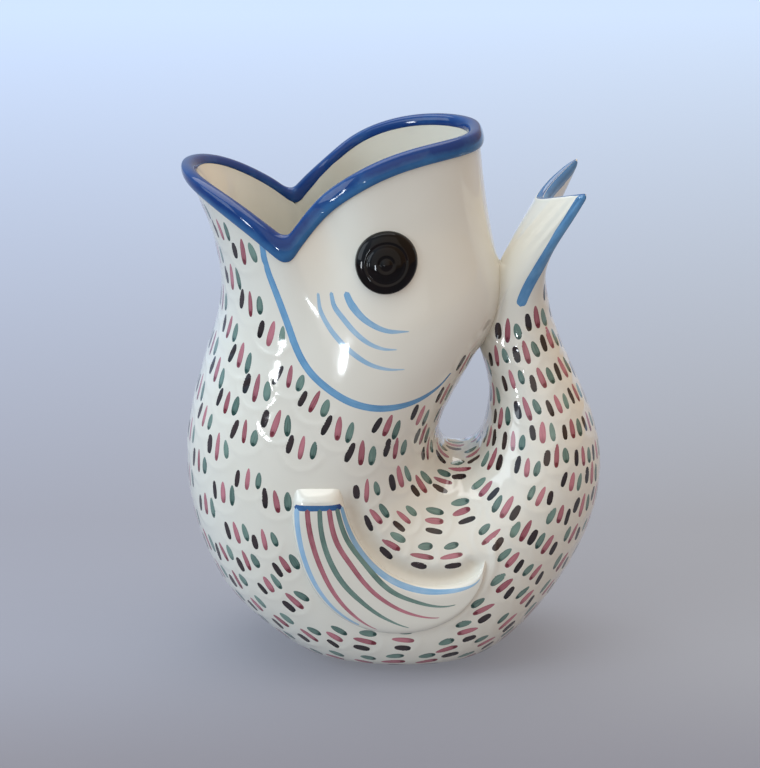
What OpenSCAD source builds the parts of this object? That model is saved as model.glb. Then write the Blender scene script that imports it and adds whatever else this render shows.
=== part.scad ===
// Fish gurgle jug: a glazed pot shaped like a fish that stands on its belly.
// X runs from the spout to the tail, Y across the fish, Z up. The origin is on
// the table, under the middle of the jug's overall size.

/* [Jug] */
// Length from the front of the belly to the back of the tail
jug_length = 181; // [165:1:200]
// Height of the upper lip above the table
jug_height = 230; // [210:1:250]
// Width of the belly at its widest
belly_width = 107; // [96:1:118]
// Thickness of the clay wall
wall = 4.5; // [3.6:0.1:5.5]

/* [Mouth] */
// Width of the mouth at its corners
mouth_width = 80; // [72:1:88]
// Depth of the mouth's corners below the line from spout to upper lip
notch_depth = 32; // [24:1:38]
// Rise of the upper lip above that line
lip_arch = 2.2; // [0:0.1:4]
// How far the corners of the mouth flare out
corner_flare = 2; // [0:0.5:4]
// How far the cheeks draw in behind the corners
cheek_pinch = 6; // [0:0.5:8]
// Height of the rolled lip above the pot's rim
lip_rise = 4; // [3:0.5:6]
// Height of the rolled lip below the pot's rim, outside
lip_skirt = 3.6; // [2:0.2:5]
// How far the rolled lip stands out from the wall
lip_overhang = 1.8; // [1:0.1:3]

/* [Foot] */
// Height of the foot
foot_height = 3; // [2:0.5:5]
// Length of the foot
foot_length = 60; // [52:1:64]
// Width of the foot
foot_width = 42; // [36:1:46]
// Width of the ring that the foot stands on
foot_ring_width = 6; // [4:0.5:10]
// Depth of the hollow inside the foot's ring
foot_recess = 1; // [0.5:0.1:1.5]
// Softness of the edge round the flat underside
base_soft = 5; // [3:0.5:7]

/* [Tail handle] */
// Width of the tail at its narrowest
tail_width = 32; // [28:1:38]
// Width of the finger gap
finger_gap_width = 21; // [18:1:25]
// Height of the finger gap
finger_gap_height = 44; // [38:1:50]
// Reach of the smoothed clay where the tail meets the head
luting_fillet = 3; // [2:0.5:5]

/* [Tail fin] */
// Distance between the tips of the two flukes
fluke_span = 61; // [50:1:72]
// How far the tips sweep back
fluke_sweep = 16; // [10:1:22]
// How far the tips stand above the fork between them
fluke_lift = 9.5; // [5:0.5:14]
// Length of the rounded top edge of the flukes
fluke_edge = 2.4; // [1.5:0.1:4]

/* [Pectoral fins] */
// Length of a side fin
side_fin_length = 83; // [70:1:95]
// Height of a side fin, from its blue band down
side_fin_height = 60; // [50:1:68]
// Thickness of a side fin at its shoulder
side_fin_ledge = 4.5; // [3:0.5:6]
// Thickness of a side fin towards its tip
side_fin_tip = 2.4; // [1.5:0.1:3.5]
// Thickness of a side fin at its edge
side_fin_edge = 0.8; // [0.5:0.1:1.2]

/* [Eyes] */
// Diameter of an eye
eye_diameter = 26; // [20:1:32]
// Thickness of an eye in its middle
eye_thickness = 4.4; // [3:0.2:6]
// Thickness of an eye at its rim
eye_rim = 1.4; // [0.8:0.1:2]
// Depth of the groove round an eye's pupil
eye_groove = 0.5; // [0.2:0.1:0.8]

/* [Hidden] */

// Colours of the glaze and the paint
glaze_white = [0.90, 0.88, 0.83];
cobalt_blue = [0.10, 0.27, 0.55];
bare_clay = [0.78, 0.70, 0.60];
eye_black = [0.05, 0.04, 0.04];

// Gap between pieces that lie on a curved seat
joint_gap = 0.15;

// The jug is one long hollow form, bent like a J: down from the mouth, round the
// belly and up into the tail. Each station is a chord across that form, from its
// outer rail (spout, breast, belly, back of the tail) to its inner rail (upper
// lip, back of the head, finger gap, front of the tail). The columns are the
// outer point, as shares of the jug's length and height; the width step, where 0
// is the mouth, 1 the belly, 2 the tail and 3 the flukes; the place of the widest
// point along the chord; the roundness of the outer and the inner side, where 2
// is an ellipse and more is squarer; and the flukes' share of sweep and lift.
station_shares = [
    [-0.530, 0.996, 0.00, 0.27, 2.10, 2.60, 0, 0],
    [-0.486, 0.930, 0.00, 0.27, 2.10, 2.60, 0, 0],
    [-0.445, 0.865, 0.05, 0.28, 2.10, 2.50, 0, 0],
    [-0.420, 0.800, 0.12, 0.31, 2.15, 2.40, 0, 0],
    [-0.406, 0.735, 0.24, 0.35, 2.20, 2.35, 0, 0],
    [-0.412, 0.670, 0.39, 0.39, 2.20, 2.30, 0, 0],
    [-0.442, 0.600, 0.56, 0.43, 2.20, 2.30, 0, 0],
    [-0.472, 0.522, 0.73, 0.46, 2.20, 2.25, 0, 0],
    [-0.497, 0.439, 0.86, 0.48, 2.20, 2.20, 0, 0],
    [-0.499, 0.357, 0.96, 0.49, 2.20, 2.20, 0, 0],
    [-0.486, 0.274, 1.00, 0.49, 2.25, 2.20, 0, 0],
    [-0.451, 0.196, 1.00, 0.48, 2.35, 2.20, 0, 0],
    [-0.398, 0.120, 1.01, 0.46, 2.50, 2.20, 0, 0],
    [-0.298, 0.052, 1.02, 0.44, 2.60, 2.20, 0, 0],
    [-0.186, -0.008, 1.04, 0.43, 2.70, 2.20, 0, 0],
    [-0.044, -0.034, 1.07, 0.42, 2.80, 2.20, 0, 0],
    [0.110, -0.034, 1.11, 0.42, 2.80, 2.20, 0, 0],
    [0.228, 0.000, 1.17, 0.44, 2.60, 2.20, 0, 0],
    [0.324, 0.060, 1.25, 0.46, 2.40, 2.20, 0, 0],
    [0.407, 0.140, 1.35, 0.48, 2.20, 2.20, 0, 0],
    [0.466, 0.225, 1.45, 0.49, 2.10, 2.15, 0, 0],
    [0.497, 0.309, 1.55, 0.50, 2.10, 2.10, 0, 0],
    [0.500, 0.391, 1.66, 0.50, 2.10, 2.10, 0, 0],
    [0.475, 0.465, 1.77, 0.50, 2.10, 2.10, 0, 0],
    [0.439, 0.530, 1.86, 0.50, 2.10, 2.10, 0, 0],
    [0.403, 0.591, 1.94, 0.50, 2.10, 2.10, 0, 0],
    [0.373, 0.652, 2.00, 0.50, 2.10, 2.10, 0, 0],
    [0.359, 0.709, 2.00, 0.50, 2.10, 2.10, 0.09, 0],
    [0.354, 0.757, 2.20, 0.50, 2.10, 2.10, 0.31, 0.10],
    [0.356, 0.800, 2.51, 0.50, 2.10, 2.10, 0.56, 0.37],
    [0.359, 0.835, 2.79, 0.50, 2.60, 2.60, 0.81, 0.68],
    [0.362, 0.863, 3.00, 0.50, 3.00, 3.00, 1.00, 1.00]];
// Inner point of each station: shares of the jug's length and height, and then
// shares of the finger gap's width and height
inner_shares = [
    [0.191, 1.063, 0, 0], [0.199, 0.998, 0, 0], [0.207, 0.933, 0, 0],
    [0.217, 0.870, 0, 0], [0.231, 0.809, 0, 0], [0.248, 0.752, 0, 0],
    [0.254, 0.698, 0, 0], [0.235, 0.643, 0, 0], [0.168, 0.487, 0.25, 0.545],
    [0.168, 0.487, -0.105, 0.250], [0.168, 0.487, -0.395, -0.023],
    [0.168, 0.487, -0.510, -0.205], [0.168, 0.487, -0.520, -0.318],
    [0.168, 0.487, -0.450, -0.414], [0.168, 0.487, -0.330, -0.473],
    [0.168, 0.487, -0.180, -0.495], [0.168, 0.487, -0.033, -0.498],
    [0.168, 0.487, 0.114, -0.482], [0.168, 0.487, 0.262, -0.432],
    [0.168, 0.487, 0.376, -0.345], [0.168, 0.487, 0.443, -0.227],
    [0.168, 0.487, 0.490, -0.090], [0.168, 0.487, 0.524, 0.068],
    [0.168, 0.487, 0.500, 0.250], [0.168, 0.487, 0.380, 0.443],
    [0.168, 0.487, 0.262, 0.660], [0.207, 0.661, 0, 0],
    [0.224, 0.709, 0, 0], [0.249, 0.757, 0, 0], [0.279, 0.802, 0, 0],
    [0.307, 0.841, 0, 0], [0.329, 0.872, 0, 0]];

// Stations where one piece ends and the next begins
mouth_index = 1;
tail_index = 19;
seat_index = 22;
fin_index = 28;
last_index = len(station_shares) - 1;
// Station where the hollow of the tail is closed
chamber_index = 27.2;
// Where the mouth's corner lies along the chord, and how its two sides bend
notch_share = 0.273;
jaw_bend = 1.2;
lip_bend = 2.6;
// Reach of the flare and the pinch along the chord and over the stations
flare_place_share = 0.25;
flare_reach_share = 0.07;
pinch_place_share = 0.43;
pinch_reach_share = 0.10;
wave_index = 1.5;
wave_reach_index = 2.2;
// Bend of the flukes' sweep and lift across their span
sweep_bend = 1.5;
lift_bend = 1.3;

// Steps from rail to rail on one side, and steps along each piece
side_steps = 20;
body_steps = 32;
tail_steps = 16;
fin_steps = 6;
edge_steps = 3;
notch_step = round(side_steps * notch_angle(notch_share));
loop_count = 2 * side_steps;

// Returns the value a share of the way from a to b
function mix(a, b, share) = a + (b - a) * share;

// Larger of two values, rounded where they meet within a reach
function soft_max(a, b, reach) =
    let (d = a - b)
    d >= reach ? a : d <= -reach ? b : b + (d + reach) * (d + reach) / (4 * reach);

// Half the pot's width at a width step
function half_width(step) =
    (step <= 1 ? mix(mouth_width, belly_width, step)
    : step <= 2 ? mix(belly_width, tail_width, step - 1)
    : mix(tail_width, fluke_span, step - 2)) / 2;

// Rail points, half width, shape and fluke offsets of one station
function station(k) =
    let (o = station_shares[k], i = inner_shares[k])
    [o[0] * jug_length, o[1] * jug_height,
     i[0] * jug_length + i[2] * finger_gap_width,
     i[1] * jug_height + i[3] * finger_gap_height,
     half_width(o[2]), o[3], o[4], o[5], o[6] * fluke_sweep, o[7] * fluke_lift];

// Guide rows of a smooth run, carried on past both ends so that it reaches them
function guide_rows(rows) =
    let (n = len(rows), step = rows[n - 1] - rows[n - 2])
    concat([2 * rows[0] - rows[1]], rows, [rows[n - 1] + step, rows[n - 1] + 2 * step]);

// Smooth run through guide rows, at any place along them
function run(guide, u) =
    let (i = min(max(floor(u), 0), len(guide) - 4), f = u - i, g = 1 - f)
    (g * g * g * guide[i] + (3 * f * f * f - 6 * f * f + 4) * guide[i + 1]
     + (3 * g * g * g - 6 * g * g + 4) * guide[i + 2] + f * f * f * guide[i + 3]) / 6;

stations = [for (k = [0 : last_index]) station(k)];
station_guide = guide_rows(stations);
function along(u) = run(station_guide, u);

// Share of the chord at a place p on the loop: 0 is the outer rail, 1 the inner
// rail, and from 1 to 2 the loop comes back along the other side
function chord_share(p) = (1 - cos(180 * p)) / 2;
function notch_angle(share) = acos(1 - 2 * share) / 180;

// Share of the half width at a share of the chord
function bulge(share, widest, outer_round, inner_round) =
    share < widest
    ? pow(max(0, 1 - pow(1 - share / widest, outer_round)), 1 / outer_round)
    : pow(max(0, 1 - pow((share - widest) / (1 - widest), inner_round)), 1 / inner_round);

function bell(x) = exp(-x * x);

// Flare of the mouth's corners and pinch of the cheeks
function mouth_wave(u, share) =
    bell((u - wave_index) / wave_reach_index)
    * (corner_flare * bell((share - flare_place_share) / flare_reach_share)
       - cheek_pinch * bell((share - pinch_place_share) / pinch_reach_share));

// Point of the form at station u and loop place p, drawn in by an inset
function form_point(u, p, inset = 0) =
    let (r = along(u), share = chord_share(p),
         b = bulge(share, r[5], r[6], r[7]),
         draw = inset / norm([r[2] - r[0], r[3] - r[1]]),
         t = draw + (1 - 2 * draw) * share,
         y = (r[4] + mouth_wave(u, share) - inset) * b)
    [mix(r[0], r[2], t) + r[8] * pow(b, sweep_bend), p <= 1 ? -y : y,
     mix(r[1], r[3], t) + r[9] * pow(b, lift_bend)];

// Height that one station drops at the back of the head
head_drop = stations[5][3] - stations[6][3];
head_top_index = 1;
head_end_index = 12;
head_tries = 6;

// Place along X of the back of the head, at a distance y from its middle
function head_back(y, z, u = 6, tries = head_tries) =
    let (r = along(u), q = min(1, y / r[4]),
         share = mix(r[5], 1, pow(max(0, 1 - pow(q, r[7])), 1 / r[7])))
    tries == 0 ? mix(r[0], r[2], share)
    : head_back(y, z, min(max(u + (mix(r[1], r[3], share) - z) / head_drop, head_top_index),
                          head_end_index), tries - 1);

// Point of the pot: the form, flat underneath and seated on the back of the head
function pot_point(u, p, inset = 0) =
    let (q = form_point(u, p, inset), z = soft_max(q[2], foot_height + inset, base_soft))
    u < seat_index || abs(p - 1) > 0.5 ? [q[0], q[1], z]
    : [soft_max(q[0], head_back(abs(q[1]), z) + joint_gap + inset, luting_fillet), q[1], z];

// Depth of the mouth's edge below the line from spout to upper lip
function rim_dip(share) =
    let (q = (share - notch_share) / (1 - notch_share))
    share < notch_share ? notch_depth * pow(share / notch_share, jaw_bend)
    : notch_depth * pow(1 - q, lip_bend) - lip_arch * sin(180 * q);

// Distance from one station to the next near the mouth
function mouth_pitch(share) =
    let (a = along(mouth_index), b = along(mouth_index + 1))
    norm([mix(a[0], a[2], share) - mix(b[0], b[2], share),
          mix(a[1], a[3], share) - mix(b[1], b[3], share)]);

// Station of the pot's edge at loop place p
function rim_station(p) =
    let (share = chord_share(p))
    mouth_index + rim_dip(share) / mouth_pitch(share);

// Loop places of the steps, one of which falls on the corner of the mouth
function loop_place(j) =
    j > side_steps ? 2 - loop_place(loop_count - j)
    : j <= notch_step ? notch_angle(notch_share) * j / notch_step
    : mix(notch_angle(notch_share), 1, (j - notch_step) / (side_steps - notch_step));
loop_places = [for (j = [0 : loop_count - 1]) loop_place(j)];

// Rings of points: at one station, and part of the way from the mouth's edge down
function ring(u, inset = 0) = [for (p = loop_places) pot_point(u, p, inset)];
function rim_ring(share, end, inset = 0) =
    [for (p = loop_places) pot_point(mix(rim_station(p), end, share), p, inset)];

// Two triangles for a cell with corners a, b, c, d, the other way round if turned
function cell(a, b, c, d, turned = false) =
    turned ? [[a, c, b], [a, d, c]] : [[a, b, c], [a, c, d]];

// Skin over rings of points that each close on themselves
function skin_faces(rings, count, first = 0, turned = false) =
    [for (i = [0 : rings - 2]) for (j = [0 : count - 1])
        let (a = first + i * count + j, b = first + i * count + (j + 1) % count)
        each cell(a, b, b + count, a + count, turned)];

// Strip between two rings that start at points a0 and b0
function strip_faces(a0, b0, count, turned = false) =
    [for (j = [0 : count - 1])
        let (k = (j + 1) % count)
        each cell(a0 + j, a0 + k, b0 + k, b0 + j, turned)];

// Lid over a ring, in bands that run from its outer rail to its inner rail
function lid_faces(first, turned = false) =
    [for (j = [0 : side_steps / 2 - 1])
        let (k = side_steps - j, m = (loop_count - j) % loop_count, n = loop_count - k)
        each concat(
            k - j > 2 ? cell(first + j, first + j + 1, first + k - 1, first + k, turned)
            : [turned ? [first + j, first + k, first + j + 1]
               : [first + j, first + j + 1, first + k]],
            k - j > 2 ? cell(first + n, first + n + 1, first + loop_count - j - 1,
                             first + m, turned)
            : [turned ? [first + n, first + m, first + n + 1]
               : [first + n, first + n + 1, first + m]])];

// Closed solid of an outer and an inner skin. It is open at its first rings, and
// at its last rings it is open too, or closed with a lid on each skin
module shell(outer, inner, lidded = false) {
    count = len(outer[0]);
    skin = len(outer) * count;
    last = (len(outer) - 1) * count;
    inner_last = skin + (len(inner) - 1) * count;
    polyhedron(
        points = concat([for (r = outer) each r], [for (r = inner) each r]),
        faces = concat(
            skin_faces(len(outer), count),
            skin_faces(len(inner), count, skin, true),
            strip_faces(0, skin, count, true),
            lidded ? concat(lid_faces(last), lid_faces(inner_last, true))
            : strip_faces(last, skin + last, count)),
        convexity = 10);
}

// Closed solid over a grid of points and the same grid of seat points under it
module slab(top, under) {
    rows = len(top);
    cols = len(top[0]);
    size = rows * cols;
    edge = concat([for (j = [0 : cols - 1]) j],
                  [for (i = [1 : rows - 1]) i * cols + cols - 1],
                  [for (j = [cols - 2 : -1 : 0]) (rows - 1) * cols + j],
                  [for (i = [rows - 2 : -1 : 1]) i * cols]);
    polyhedron(
        points = concat([for (r = top) each r], [for (r = under) each r]),
        faces = concat(
            [for (i = [0 : rows - 2]) for (j = [0 : cols - 2]) let (a = i * cols + j)
                each concat(cell(a, a + 1, a + cols + 1, a + cols),
                            cell(size + a, size + a + 1, size + a + cols + 1,
                                 size + a + cols, true))],
            [for (k = [0 : len(edge) - 1])
                let (a = edge[k], b = edge[(k + 1) % len(edge)])
                each cell(a, b, size + b, size + a, true)]),
        convexity = 6);
}

// Place along the stations of the chord that passes through a point of the side
side_tries = 16;
side_end_index = 21;
function side_station(x, z, low = mouth_index, high = side_end_index, tries = side_tries) =
    let (u = (low + high) / 2, r = along(u))
    tries == 0 ? u
    : (r[2] - r[0]) * (z - r[1]) < (r[3] - r[1]) * (x - r[0])
    ? side_station(x, z, u, high, tries - 1) : side_station(x, z, low, u, tries - 1);

// Point on the pot's left side, seen square on at x and z, raised by a height
function side_point(x, z, raised) =
    let (u = side_station(x, z), r = along(u), chord = [r[2] - r[0], r[3] - r[1]],
         share = [x - r[0], z - r[1]] * chord / (chord * chord),
         y = (r[4] + mouth_wave(u, share)) * bulge(share, r[5], r[6], r[7]))
    [x, -y - raised, z];

module body_shell() {
    color(glaze_white)
        shell([for (i = [0 : body_steps]) rim_ring(i / body_steps, tail_index)],
              [for (i = [0 : body_steps]) rim_ring(i / body_steps, tail_index, wall)]);
}

// Section of the rolled lip. The columns are shares of the wall and the overhang,
// outward, and of the rise and the skirt, upward; the last two give the seat's gap
lip_shares = [
    [-1, 0, 0, 0, 0, 1], [-1, 0, 0.45, 0, 0, 0], [-0.82, 0, 0.84, 0, 0, 0],
    [-0.45, 0, 1, 0, 0, 0], [0, 0.05, 0.92, 0, 0, 0], [0, 0.62, 0.58, 0, 0, 0],
    [0, 0.95, 0.08, 0, 0, 0], [0, 1, 0, -0.45, 0, 0], [0, 0.72, 0, -0.86, 0, 0],
    [0, 0.3, 0, -1, 0, 0], [0, 0, 0, -0.9, 1, 0], [0, 0, 0, 0, 1, 1]];
lip_section = [for (s = lip_shares)
    [s[0] * wall + s[1] * lip_overhang + s[4] * joint_gap,
     s[2] * lip_rise + s[3] * lip_skirt + s[5] * joint_gap]];

// Stations per unit of height, square to the mouth's edge, at loop place p
edge_probe_share = 0.2;
edge_turn_share = 0.01;
function edge_rate(p) =
    p > 1 ? edge_rate(2 - p)
    : let (u = rim_station(p), a = pot_point(u, p), turn = p > notch_angle(notch_share)
           ? edge_turn_share : -edge_turn_share,
           along_edge = pot_point(rim_station(p + turn), p + turn) - a,
           up = pot_point(u - edge_probe_share, p) - a)
    edge_probe_share * norm(along_edge) / norm(cross(along_edge, up));
edge_rates = [for (p = loop_places) edge_rate(p)];

module lip_bead() {
    rings = [for (s = lip_section)
        [for (j = [0 : loop_count - 1]) let (p = loop_places[j])
            pot_point(rim_station(p) - s[1] * edge_rates[j], p, -s[0])]];
    color(cobalt_blue)
        polyhedron(
            points = [for (r = rings) each r],
            faces = concat(skin_faces(len(rings), loop_count),
                           strip_faces((len(rings) - 1) * loop_count, 0, loop_count)),
            convexity = 10);
}

// Oval plate, drawn in by an inset
foot_sides = 72;
foot_place_share = 0.017;
module oval(height, inset = 0) {
    linear_extrude(height)
        polygon([for (k = [0 : foot_sides - 1]) let (a = 360 * k / foot_sides)
            [(foot_length / 2 - inset) * cos(a), (foot_width / 2 - inset) * sin(a)]]);
}

module foot() {
    color(bare_clay) translate([foot_place_share * jug_length, 0, 0])
        difference() {
            oval(foot_height);
            translate([0, 0, foot_recess - foot_height]) oval(foot_height, foot_ring_width);
        }
}

module tail_handle() {
    color(glaze_white)
        shell([for (i = [0 : tail_steps]) ring(mix(tail_index, fin_index, i / tail_steps))],
              [for (i = [0 : tail_steps])
                  ring(mix(tail_index, chamber_index, i / tail_steps), wall)],
              lidded = true);
}

// Ring round the flukes' top edge: the last ring, drawn together and carried on
fluke_turn = 75;
function edge_ring(share) =
    let (a = along(last_index), b = along(last_index - 1),
         way = [a[0] + a[2] - b[0] - b[2], 0, a[1] + a[3] - b[1] - b[3]],
         thin = cos(fluke_turn * share), rise = fluke_edge * sin(fluke_turn * share))
    [for (p = loop_places)
        let (q = pot_point(last_index, p),
             facing = pot_point(last_index, p <= 1 ? 1 - p : 3 - p))
        mix((q + facing) / 2, q, thin) + rise * way / norm(way)];

module tail_fin() {
    rings = concat(
        [for (i = [0 : fin_steps]) ring(mix(fin_index, last_index, i / fin_steps))],
        [for (i = [1 : edge_steps]) edge_ring(i / edge_steps)]);
    color(glaze_white)
        polyhedron(
            points = [for (r = rings) each r],
            faces = concat(skin_faces(len(rings), loop_count), lid_faces(0, true),
                           lid_faces((len(rings) - 1) * loop_count)),
            convexity = 6);
}

// Outline of a side fin, from its round shoulder to its tip: the breast side and the
// back side, in shares of the fin's length and height from the front corner of its
// blue band, which lies right under the shoulder
fin_breast_shares = [[0.03, 0.125], [0, 0], [0.01, -0.24], [0.055, -0.51], [0.165, -0.79],
                     [0.37, -0.98], [0.64, -1.01], [0.86, -0.88], [0.965, -0.68], [1, -0.49]];
fin_back_shares = [[0.245, 0.125], [0.27, 0], [0.31, -0.2], [0.4, -0.41], [0.53, -0.565],
                   [0.69, -0.64], [0.83, -0.635], [0.925, -0.59], [0.97, -0.53],
                   [0.99, -0.46]];
fin_corner_shares = [-0.239, 0.358];
fin_rows = 16;
fin_cols = 8;
fin_round = 6;
fin_shoulder_share = 0.075;
fin_breast_guide = guide_rows(fin_breast_shares);
fin_back_guide = guide_rows(fin_back_shares);

// Rises from 0 at both ends of the range 0 to 1, level in between
function crown(share) = sqrt(max(0, 1 - pow(abs(2 * share - 1), fin_round)));
function shoulder(share) = sin(90 * min(1, share / fin_shoulder_share));

function fin_point(i, j, raised) =
    let (t = chord_share(i / fin_rows), u = t * (len(fin_breast_shares) - 1),
         q = chord_share(j / fin_cols),
         s = mix(run(fin_breast_guide, u), run(fin_back_guide, u), q),
         body = mix(side_fin_ledge, side_fin_tip, t) - side_fin_edge,
         thick = side_fin_edge + body * crown(q) * shoulder(t) * shoulder(1 - t))
    side_point(fin_corner_shares[0] * jug_length + s[0] * side_fin_length,
               fin_corner_shares[1] * jug_height + s[1] * side_fin_height,
               joint_gap + (raised ? thick : 0));

module pectoral_fin() {
    color(glaze_white)
        slab([for (i = [0 : fin_rows]) [for (j = [0 : fin_cols]) fin_point(i, j, true)]],
             [for (i = [0 : fin_rows]) [for (j = [0 : fin_cols]) fin_point(i, j, false)]]);
}

module left_pectoral_fin() { pectoral_fin(); }
module right_pectoral_fin() { mirror([0, 1, 0]) pectoral_fin(); }

// Rings of an eye, from its rim to its middle, and the place of its groove
eye_ring_shares = [1, 0.97, 0.88, 0.74, 0.62, 0.5, 0.25];
eye_sides = 28;
eye_place_shares = [-0.018, 0.802];
groove_place_share = 0.62;
groove_reach_share = 0.08;
function eye_height(q) =
    mix(eye_rim, eye_thickness, sqrt(1 - q * q))
    - eye_groove * bell((q - groove_place_share) / groove_reach_share);

function eye_point(q, a, raised) =
    side_point(eye_place_shares[0] * jug_length + q * cos(a) * eye_diameter / 2,
               eye_place_shares[1] * jug_height + q * sin(a) * eye_diameter / 2,
               joint_gap + (raised ? eye_height(q) : 0));

module eye() {
    rings = len(eye_ring_shares);
    skin = rings * eye_sides;
    last = skin - eye_sides;
    skins = [for (raised = [true, false])
        [for (q = eye_ring_shares) each
            [for (k = [0 : eye_sides - 1]) eye_point(q, -360 * k / eye_sides, raised)]]];
    color(eye_black)
        polyhedron(
            points = concat(skins[0], skins[1],
                            [eye_point(0, 0, true), eye_point(0, 0, false)]),
            faces = concat(
                skin_faces(rings, eye_sides),
                skin_faces(rings, eye_sides, skin, true),
                strip_faces(0, skin, eye_sides, true),
                [for (k = [0 : eye_sides - 1]) let (m = (k + 1) % eye_sides) each
                    [[last + k, last + m, 2 * skin],
                     [skin + last + m, skin + last + k, 2 * skin + 1]]]),
            convexity = 4);
}

module left_eye() { eye(); }
module right_eye() { mirror([0, 1, 0]) eye(); }

body_shell();
lip_bead();
foot();
tail_handle();
tail_fin();
left_pectoral_fin();
right_pectoral_fin();
left_eye();
right_eye();
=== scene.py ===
"""Looks of a glazed fish gurgle jug: its hand-painted ceramic pieces, a plain
floor, soft studio light and the camera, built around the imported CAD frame."""

import math

import bpy
import numpy as np
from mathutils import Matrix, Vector


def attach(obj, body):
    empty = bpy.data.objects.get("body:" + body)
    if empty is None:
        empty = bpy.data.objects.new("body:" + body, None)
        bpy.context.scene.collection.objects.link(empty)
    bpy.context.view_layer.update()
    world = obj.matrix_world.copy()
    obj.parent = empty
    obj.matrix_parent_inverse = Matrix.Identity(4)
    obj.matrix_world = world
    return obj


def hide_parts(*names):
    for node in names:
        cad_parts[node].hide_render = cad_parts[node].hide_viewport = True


bl_info = {
    "name": "Fish gurgle jug",
    "version": (1, 0, 0),
    "blender": (4, 5, 0),
    "location": "View3D > Sidebar > Gurgle Jug",
    "description": "Builds a hand-painted fish jug around its CAD frame",
    "category": "Object",
}

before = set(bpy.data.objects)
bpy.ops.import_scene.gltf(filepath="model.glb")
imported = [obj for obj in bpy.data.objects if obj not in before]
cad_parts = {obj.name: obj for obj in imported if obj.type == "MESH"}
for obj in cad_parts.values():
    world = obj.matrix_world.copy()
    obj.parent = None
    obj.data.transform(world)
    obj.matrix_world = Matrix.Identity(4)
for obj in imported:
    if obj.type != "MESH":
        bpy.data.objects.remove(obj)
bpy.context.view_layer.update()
ROOT = "root"

MM = 0.001
IMAGE_WIDTH, IMAGE_HEIGHT = 760, 768

# The jug is one long hollow form, bent like a J. Each station is a chord across
# it, from its outer rail to its inner rail: outer point as shares of length and
# height, width step (0 mouth, 1 belly, 2 tail, 3 flukes), place of the widest
# point, roundness of the outer and the inner side, share of sweep and of lift.
STATION_SHARES = (
    (-0.530, 0.996, 0.00, 0.27, 2.10, 2.60, 0, 0),
    (-0.486, 0.930, 0.00, 0.27, 2.10, 2.60, 0, 0),
    (-0.445, 0.865, 0.05, 0.28, 2.10, 2.50, 0, 0),
    (-0.420, 0.800, 0.12, 0.31, 2.15, 2.40, 0, 0),
    (-0.406, 0.735, 0.24, 0.35, 2.20, 2.35, 0, 0),
    (-0.412, 0.670, 0.39, 0.39, 2.20, 2.30, 0, 0),
    (-0.442, 0.600, 0.56, 0.43, 2.20, 2.30, 0, 0),
    (-0.472, 0.522, 0.73, 0.46, 2.20, 2.25, 0, 0),
    (-0.497, 0.439, 0.86, 0.48, 2.20, 2.20, 0, 0),
    (-0.499, 0.357, 0.96, 0.49, 2.20, 2.20, 0, 0),
    (-0.486, 0.274, 1.00, 0.49, 2.25, 2.20, 0, 0),
    (-0.451, 0.196, 1.00, 0.48, 2.35, 2.20, 0, 0),
    (-0.398, 0.120, 1.01, 0.46, 2.50, 2.20, 0, 0),
    (-0.298, 0.052, 1.02, 0.44, 2.60, 2.20, 0, 0),
    (-0.186, -0.008, 1.04, 0.43, 2.70, 2.20, 0, 0),
    (-0.044, -0.034, 1.07, 0.42, 2.80, 2.20, 0, 0),
    (0.110, -0.034, 1.11, 0.42, 2.80, 2.20, 0, 0),
    (0.228, 0.000, 1.17, 0.44, 2.60, 2.20, 0, 0),
    (0.324, 0.060, 1.25, 0.46, 2.40, 2.20, 0, 0),
    (0.407, 0.140, 1.35, 0.48, 2.20, 2.20, 0, 0),
    (0.466, 0.225, 1.45, 0.49, 2.10, 2.15, 0, 0),
    (0.497, 0.309, 1.55, 0.50, 2.10, 2.10, 0, 0),
    (0.500, 0.391, 1.66, 0.50, 2.10, 2.10, 0, 0),
    (0.475, 0.465, 1.77, 0.50, 2.10, 2.10, 0, 0),
    (0.439, 0.530, 1.86, 0.50, 2.10, 2.10, 0, 0),
    (0.403, 0.591, 1.94, 0.50, 2.10, 2.10, 0, 0),
    (0.373, 0.652, 2.00, 0.50, 2.10, 2.10, 0, 0),
    (0.359, 0.709, 2.00, 0.50, 2.10, 2.10, 0.09, 0),
    (0.354, 0.757, 2.20, 0.50, 2.10, 2.10, 0.31, 0.10),
    (0.356, 0.800, 2.51, 0.50, 2.10, 2.10, 0.56, 0.37),
    (0.359, 0.835, 2.79, 0.50, 2.60, 2.60, 0.81, 0.68),
    (0.362, 0.863, 3.00, 0.50, 3.00, 3.00, 1.00, 1.00))
# Inner point of each station: shares of the jug's length and height, and then
# shares of the finger gap's width and height
INNER_SHARES = (
    (0.191, 1.063, 0, 0), (0.199, 0.998, 0, 0), (0.207, 0.933, 0, 0),
    (0.217, 0.870, 0, 0), (0.231, 0.809, 0, 0), (0.248, 0.752, 0, 0),
    (0.254, 0.698, 0, 0), (0.235, 0.643, 0, 0), (0.168, 0.487, 0.25, 0.545),
    (0.168, 0.487, -0.105, 0.250), (0.168, 0.487, -0.395, -0.023),
    (0.168, 0.487, -0.510, -0.205), (0.168, 0.487, -0.520, -0.318),
    (0.168, 0.487, -0.450, -0.414), (0.168, 0.487, -0.330, -0.473),
    (0.168, 0.487, -0.180, -0.495), (0.168, 0.487, -0.033, -0.498),
    (0.168, 0.487, 0.114, -0.482), (0.168, 0.487, 0.262, -0.432),
    (0.168, 0.487, 0.376, -0.345), (0.168, 0.487, 0.443, -0.227),
    (0.168, 0.487, 0.490, -0.090), (0.168, 0.487, 0.524, 0.068),
    (0.168, 0.487, 0.500, 0.250), (0.168, 0.487, 0.380, 0.443),
    (0.168, 0.487, 0.262, 0.660), (0.207, 0.661, 0, 0),
    (0.224, 0.709, 0, 0), (0.249, 0.757, 0, 0), (0.279, 0.802, 0, 0),
    (0.307, 0.841, 0, 0), (0.329, 0.872, 0, 0))
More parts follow.
